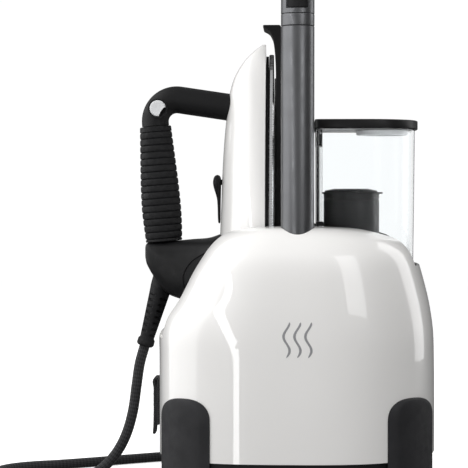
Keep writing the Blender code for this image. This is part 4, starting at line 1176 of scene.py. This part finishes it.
def add_lid():
    """Lid plate with its funnel and ear."""
    x, z = 15.9, 279.3
    lid = slab("lid_plate", tank_outline(1.4, 2.1), "z", 281.8, 288.8, "black", 0.9, 4)
    apply_modifiers(lid)
    ear = slab("cutter", ((-15.1, z - 2.7), (15.1, z - 2.7), (15.1, 285), (-15.1, 285)), "x",
               x - 1.4, x + 1.4, "black", 0.3)
    join = lid.modifiers.new("ear", "BOOLEAN")
    join.operation = "UNION"
    join.object = ear
    apply_modifiers(lid)
    bpy.data.objects.remove(ear, do_unlink=True)
    cut(lid, cutter_rod((x, -30, z), (x, 30, z), 1.1, 24))
    lid.data.set_sharp_from_angle(angle=math.radians(40))
    put(lid, "lid", "black_plastic", "tank_lid")
    panel = [(u * 0.86 + 7.4, v * 0.84) for u, v in tank_outline(-2.0)]
    put(slab("lid_panel", panel, "z", 288.6, 289.2, "satin", 0.25), "lid", "black_plastic")
    cup = [(20.3, 281.5), (20.3, 278.6), (19.6, 277.8), (17.1, 277.8), (16.5, 278.4), (16.5, 281.5)]
    ring = ring_lathe("funnel_ring", cup, (66.4, 0, 0), (0, 0, 1), "grey", 96)
    put(ring, "lid", "light_grey", "lid_funnel")


# ---------------------------------------------------------------- rear fittings

def add_rear():
    """Ribbed hose gland, power button with its ring and sign, and the pins of the mains inlet."""
    wall = Vector((-60.0, 97.8, 42.0))
    ahead = Vector((-0.242, 0.970, 0.0)).normalized()
    profile = [(0, -1.5), (7.0, -1.5), (7.0, 4.0), (6.4, 5.0)]
    for rib in range(6):
        distance = 7.0 + rib * 3.4
        radius = 6.3 - 0.045 * (distance - 5)
        profile.extend(((radius, distance), (radius - 1.0, distance + 0.3), (radius - 1.0, distance + 1.3),
                        (radius - 0.05, distance + 1.6)))
    profile.extend(((5.4, 28.0), (4.9, 29.0), (0, 29.0)))
    put(lathe("ribbed_gland", profile, wall, ahead, "rubber", 64), "root", "black_plastic", "hose_gland")
    press = [(0, 90), (8.0, 90), (8.0, 100.9), (7.7, 101.5), (7.1, 101.8), (5.0, 101.7), (0, 101.6)]
    put(lathe("power_key", press, (34, 0, 120), (0, 1, 0), "grey", 64), "power_button", "light_grey",
        "power_button")
    arc = [(34 + 3.1 * math.sin(math.radians(a)), 101.85, 120 + 3.1 * math.cos(math.radians(a)))
           for a in range(40, 321, 10)]
    put(tube("power_sign_ring", arc, 0.35, "mark", 10), "power_button", None)
    put(tube("power_sign_bar", [(34, 101.85, 120.4), (34, 101.85, 123.6)], 0.35, "mark", 10),
        "power_button", None)
    for number, (x, z) in enumerate(((46.5, 48.0), (52.0, 53.0), (57.5, 48.0))):
        pin = slab(f"inlet_pin_{number}", ((x - 1.1, z - 2.2), (x + 1.1, z - 2.2), (x + 1.1, z + 2.2),
                                           (x - 1.1, z + 2.2)), "y", 94.6, 100.2, "steel", 0.4)
        put(pin, "root", "steel")


# ---------------------------------------------------------------- finishes of the kept CAD pieces

CAD_FINISHES = {
    "iron_dock_liner": "dock", "tank_bay_liner": "liner", "base_tray": "black", "boiler_lower": "steel",
    "boiler_upper": "steel", "boiler_clamp": "steel", "heating_element": "steel", "safety_valve": "brass",
    "pressure_switch": "black", "water_pump": "pad", "steam_solenoid": "brass", "control_board": "board",
    "feed_pipe": "silicone", "steam_pipe": "steel", "valve_socket": "black", "mains_inlet": "black",
    "tank_catch": "satin", "coil_tie": "webbing_flat", "heat_shield": "liner", "soleplate": "sole",
    "steam_chamber": "cast", "handle_core": "black", "tank_valve": "black", "lid_hinge_block": "black",
    "lid_hinge_pin": "steel",
}


def finish_cad():
    """Give the kept CAD pieces their materials and soften the edges that show."""
    for node, finish_name in CAD_FINISHES.items():
        piece = bpy.data.objects[node]
        piece.data.materials.clear()
        piece.data.materials.append(MATERIALS[finish_name])
    for node, width in (("mains_inlet", 0.5), ("lid_hinge_block", 0.4), ("coil_tie", 0.3),
                        ("tank_catch", 0.2)):
        soften(bpy.data.objects[node], width, 2, 50)


def main():
    """Build the whole picture."""
    add_camera()
    add_hose()
    add_studio()
    add_shell()
    add_corner_pads()
    add_feet()
    add_symbol()
    add_handle()
    add_rest_plate()
    add_strap()
    add_cover()
    add_elbow()
    add_grip()
    add_heel()
    add_lever()
    add_tank()
    add_lid()
    add_rear()
    finish_cad()


main()
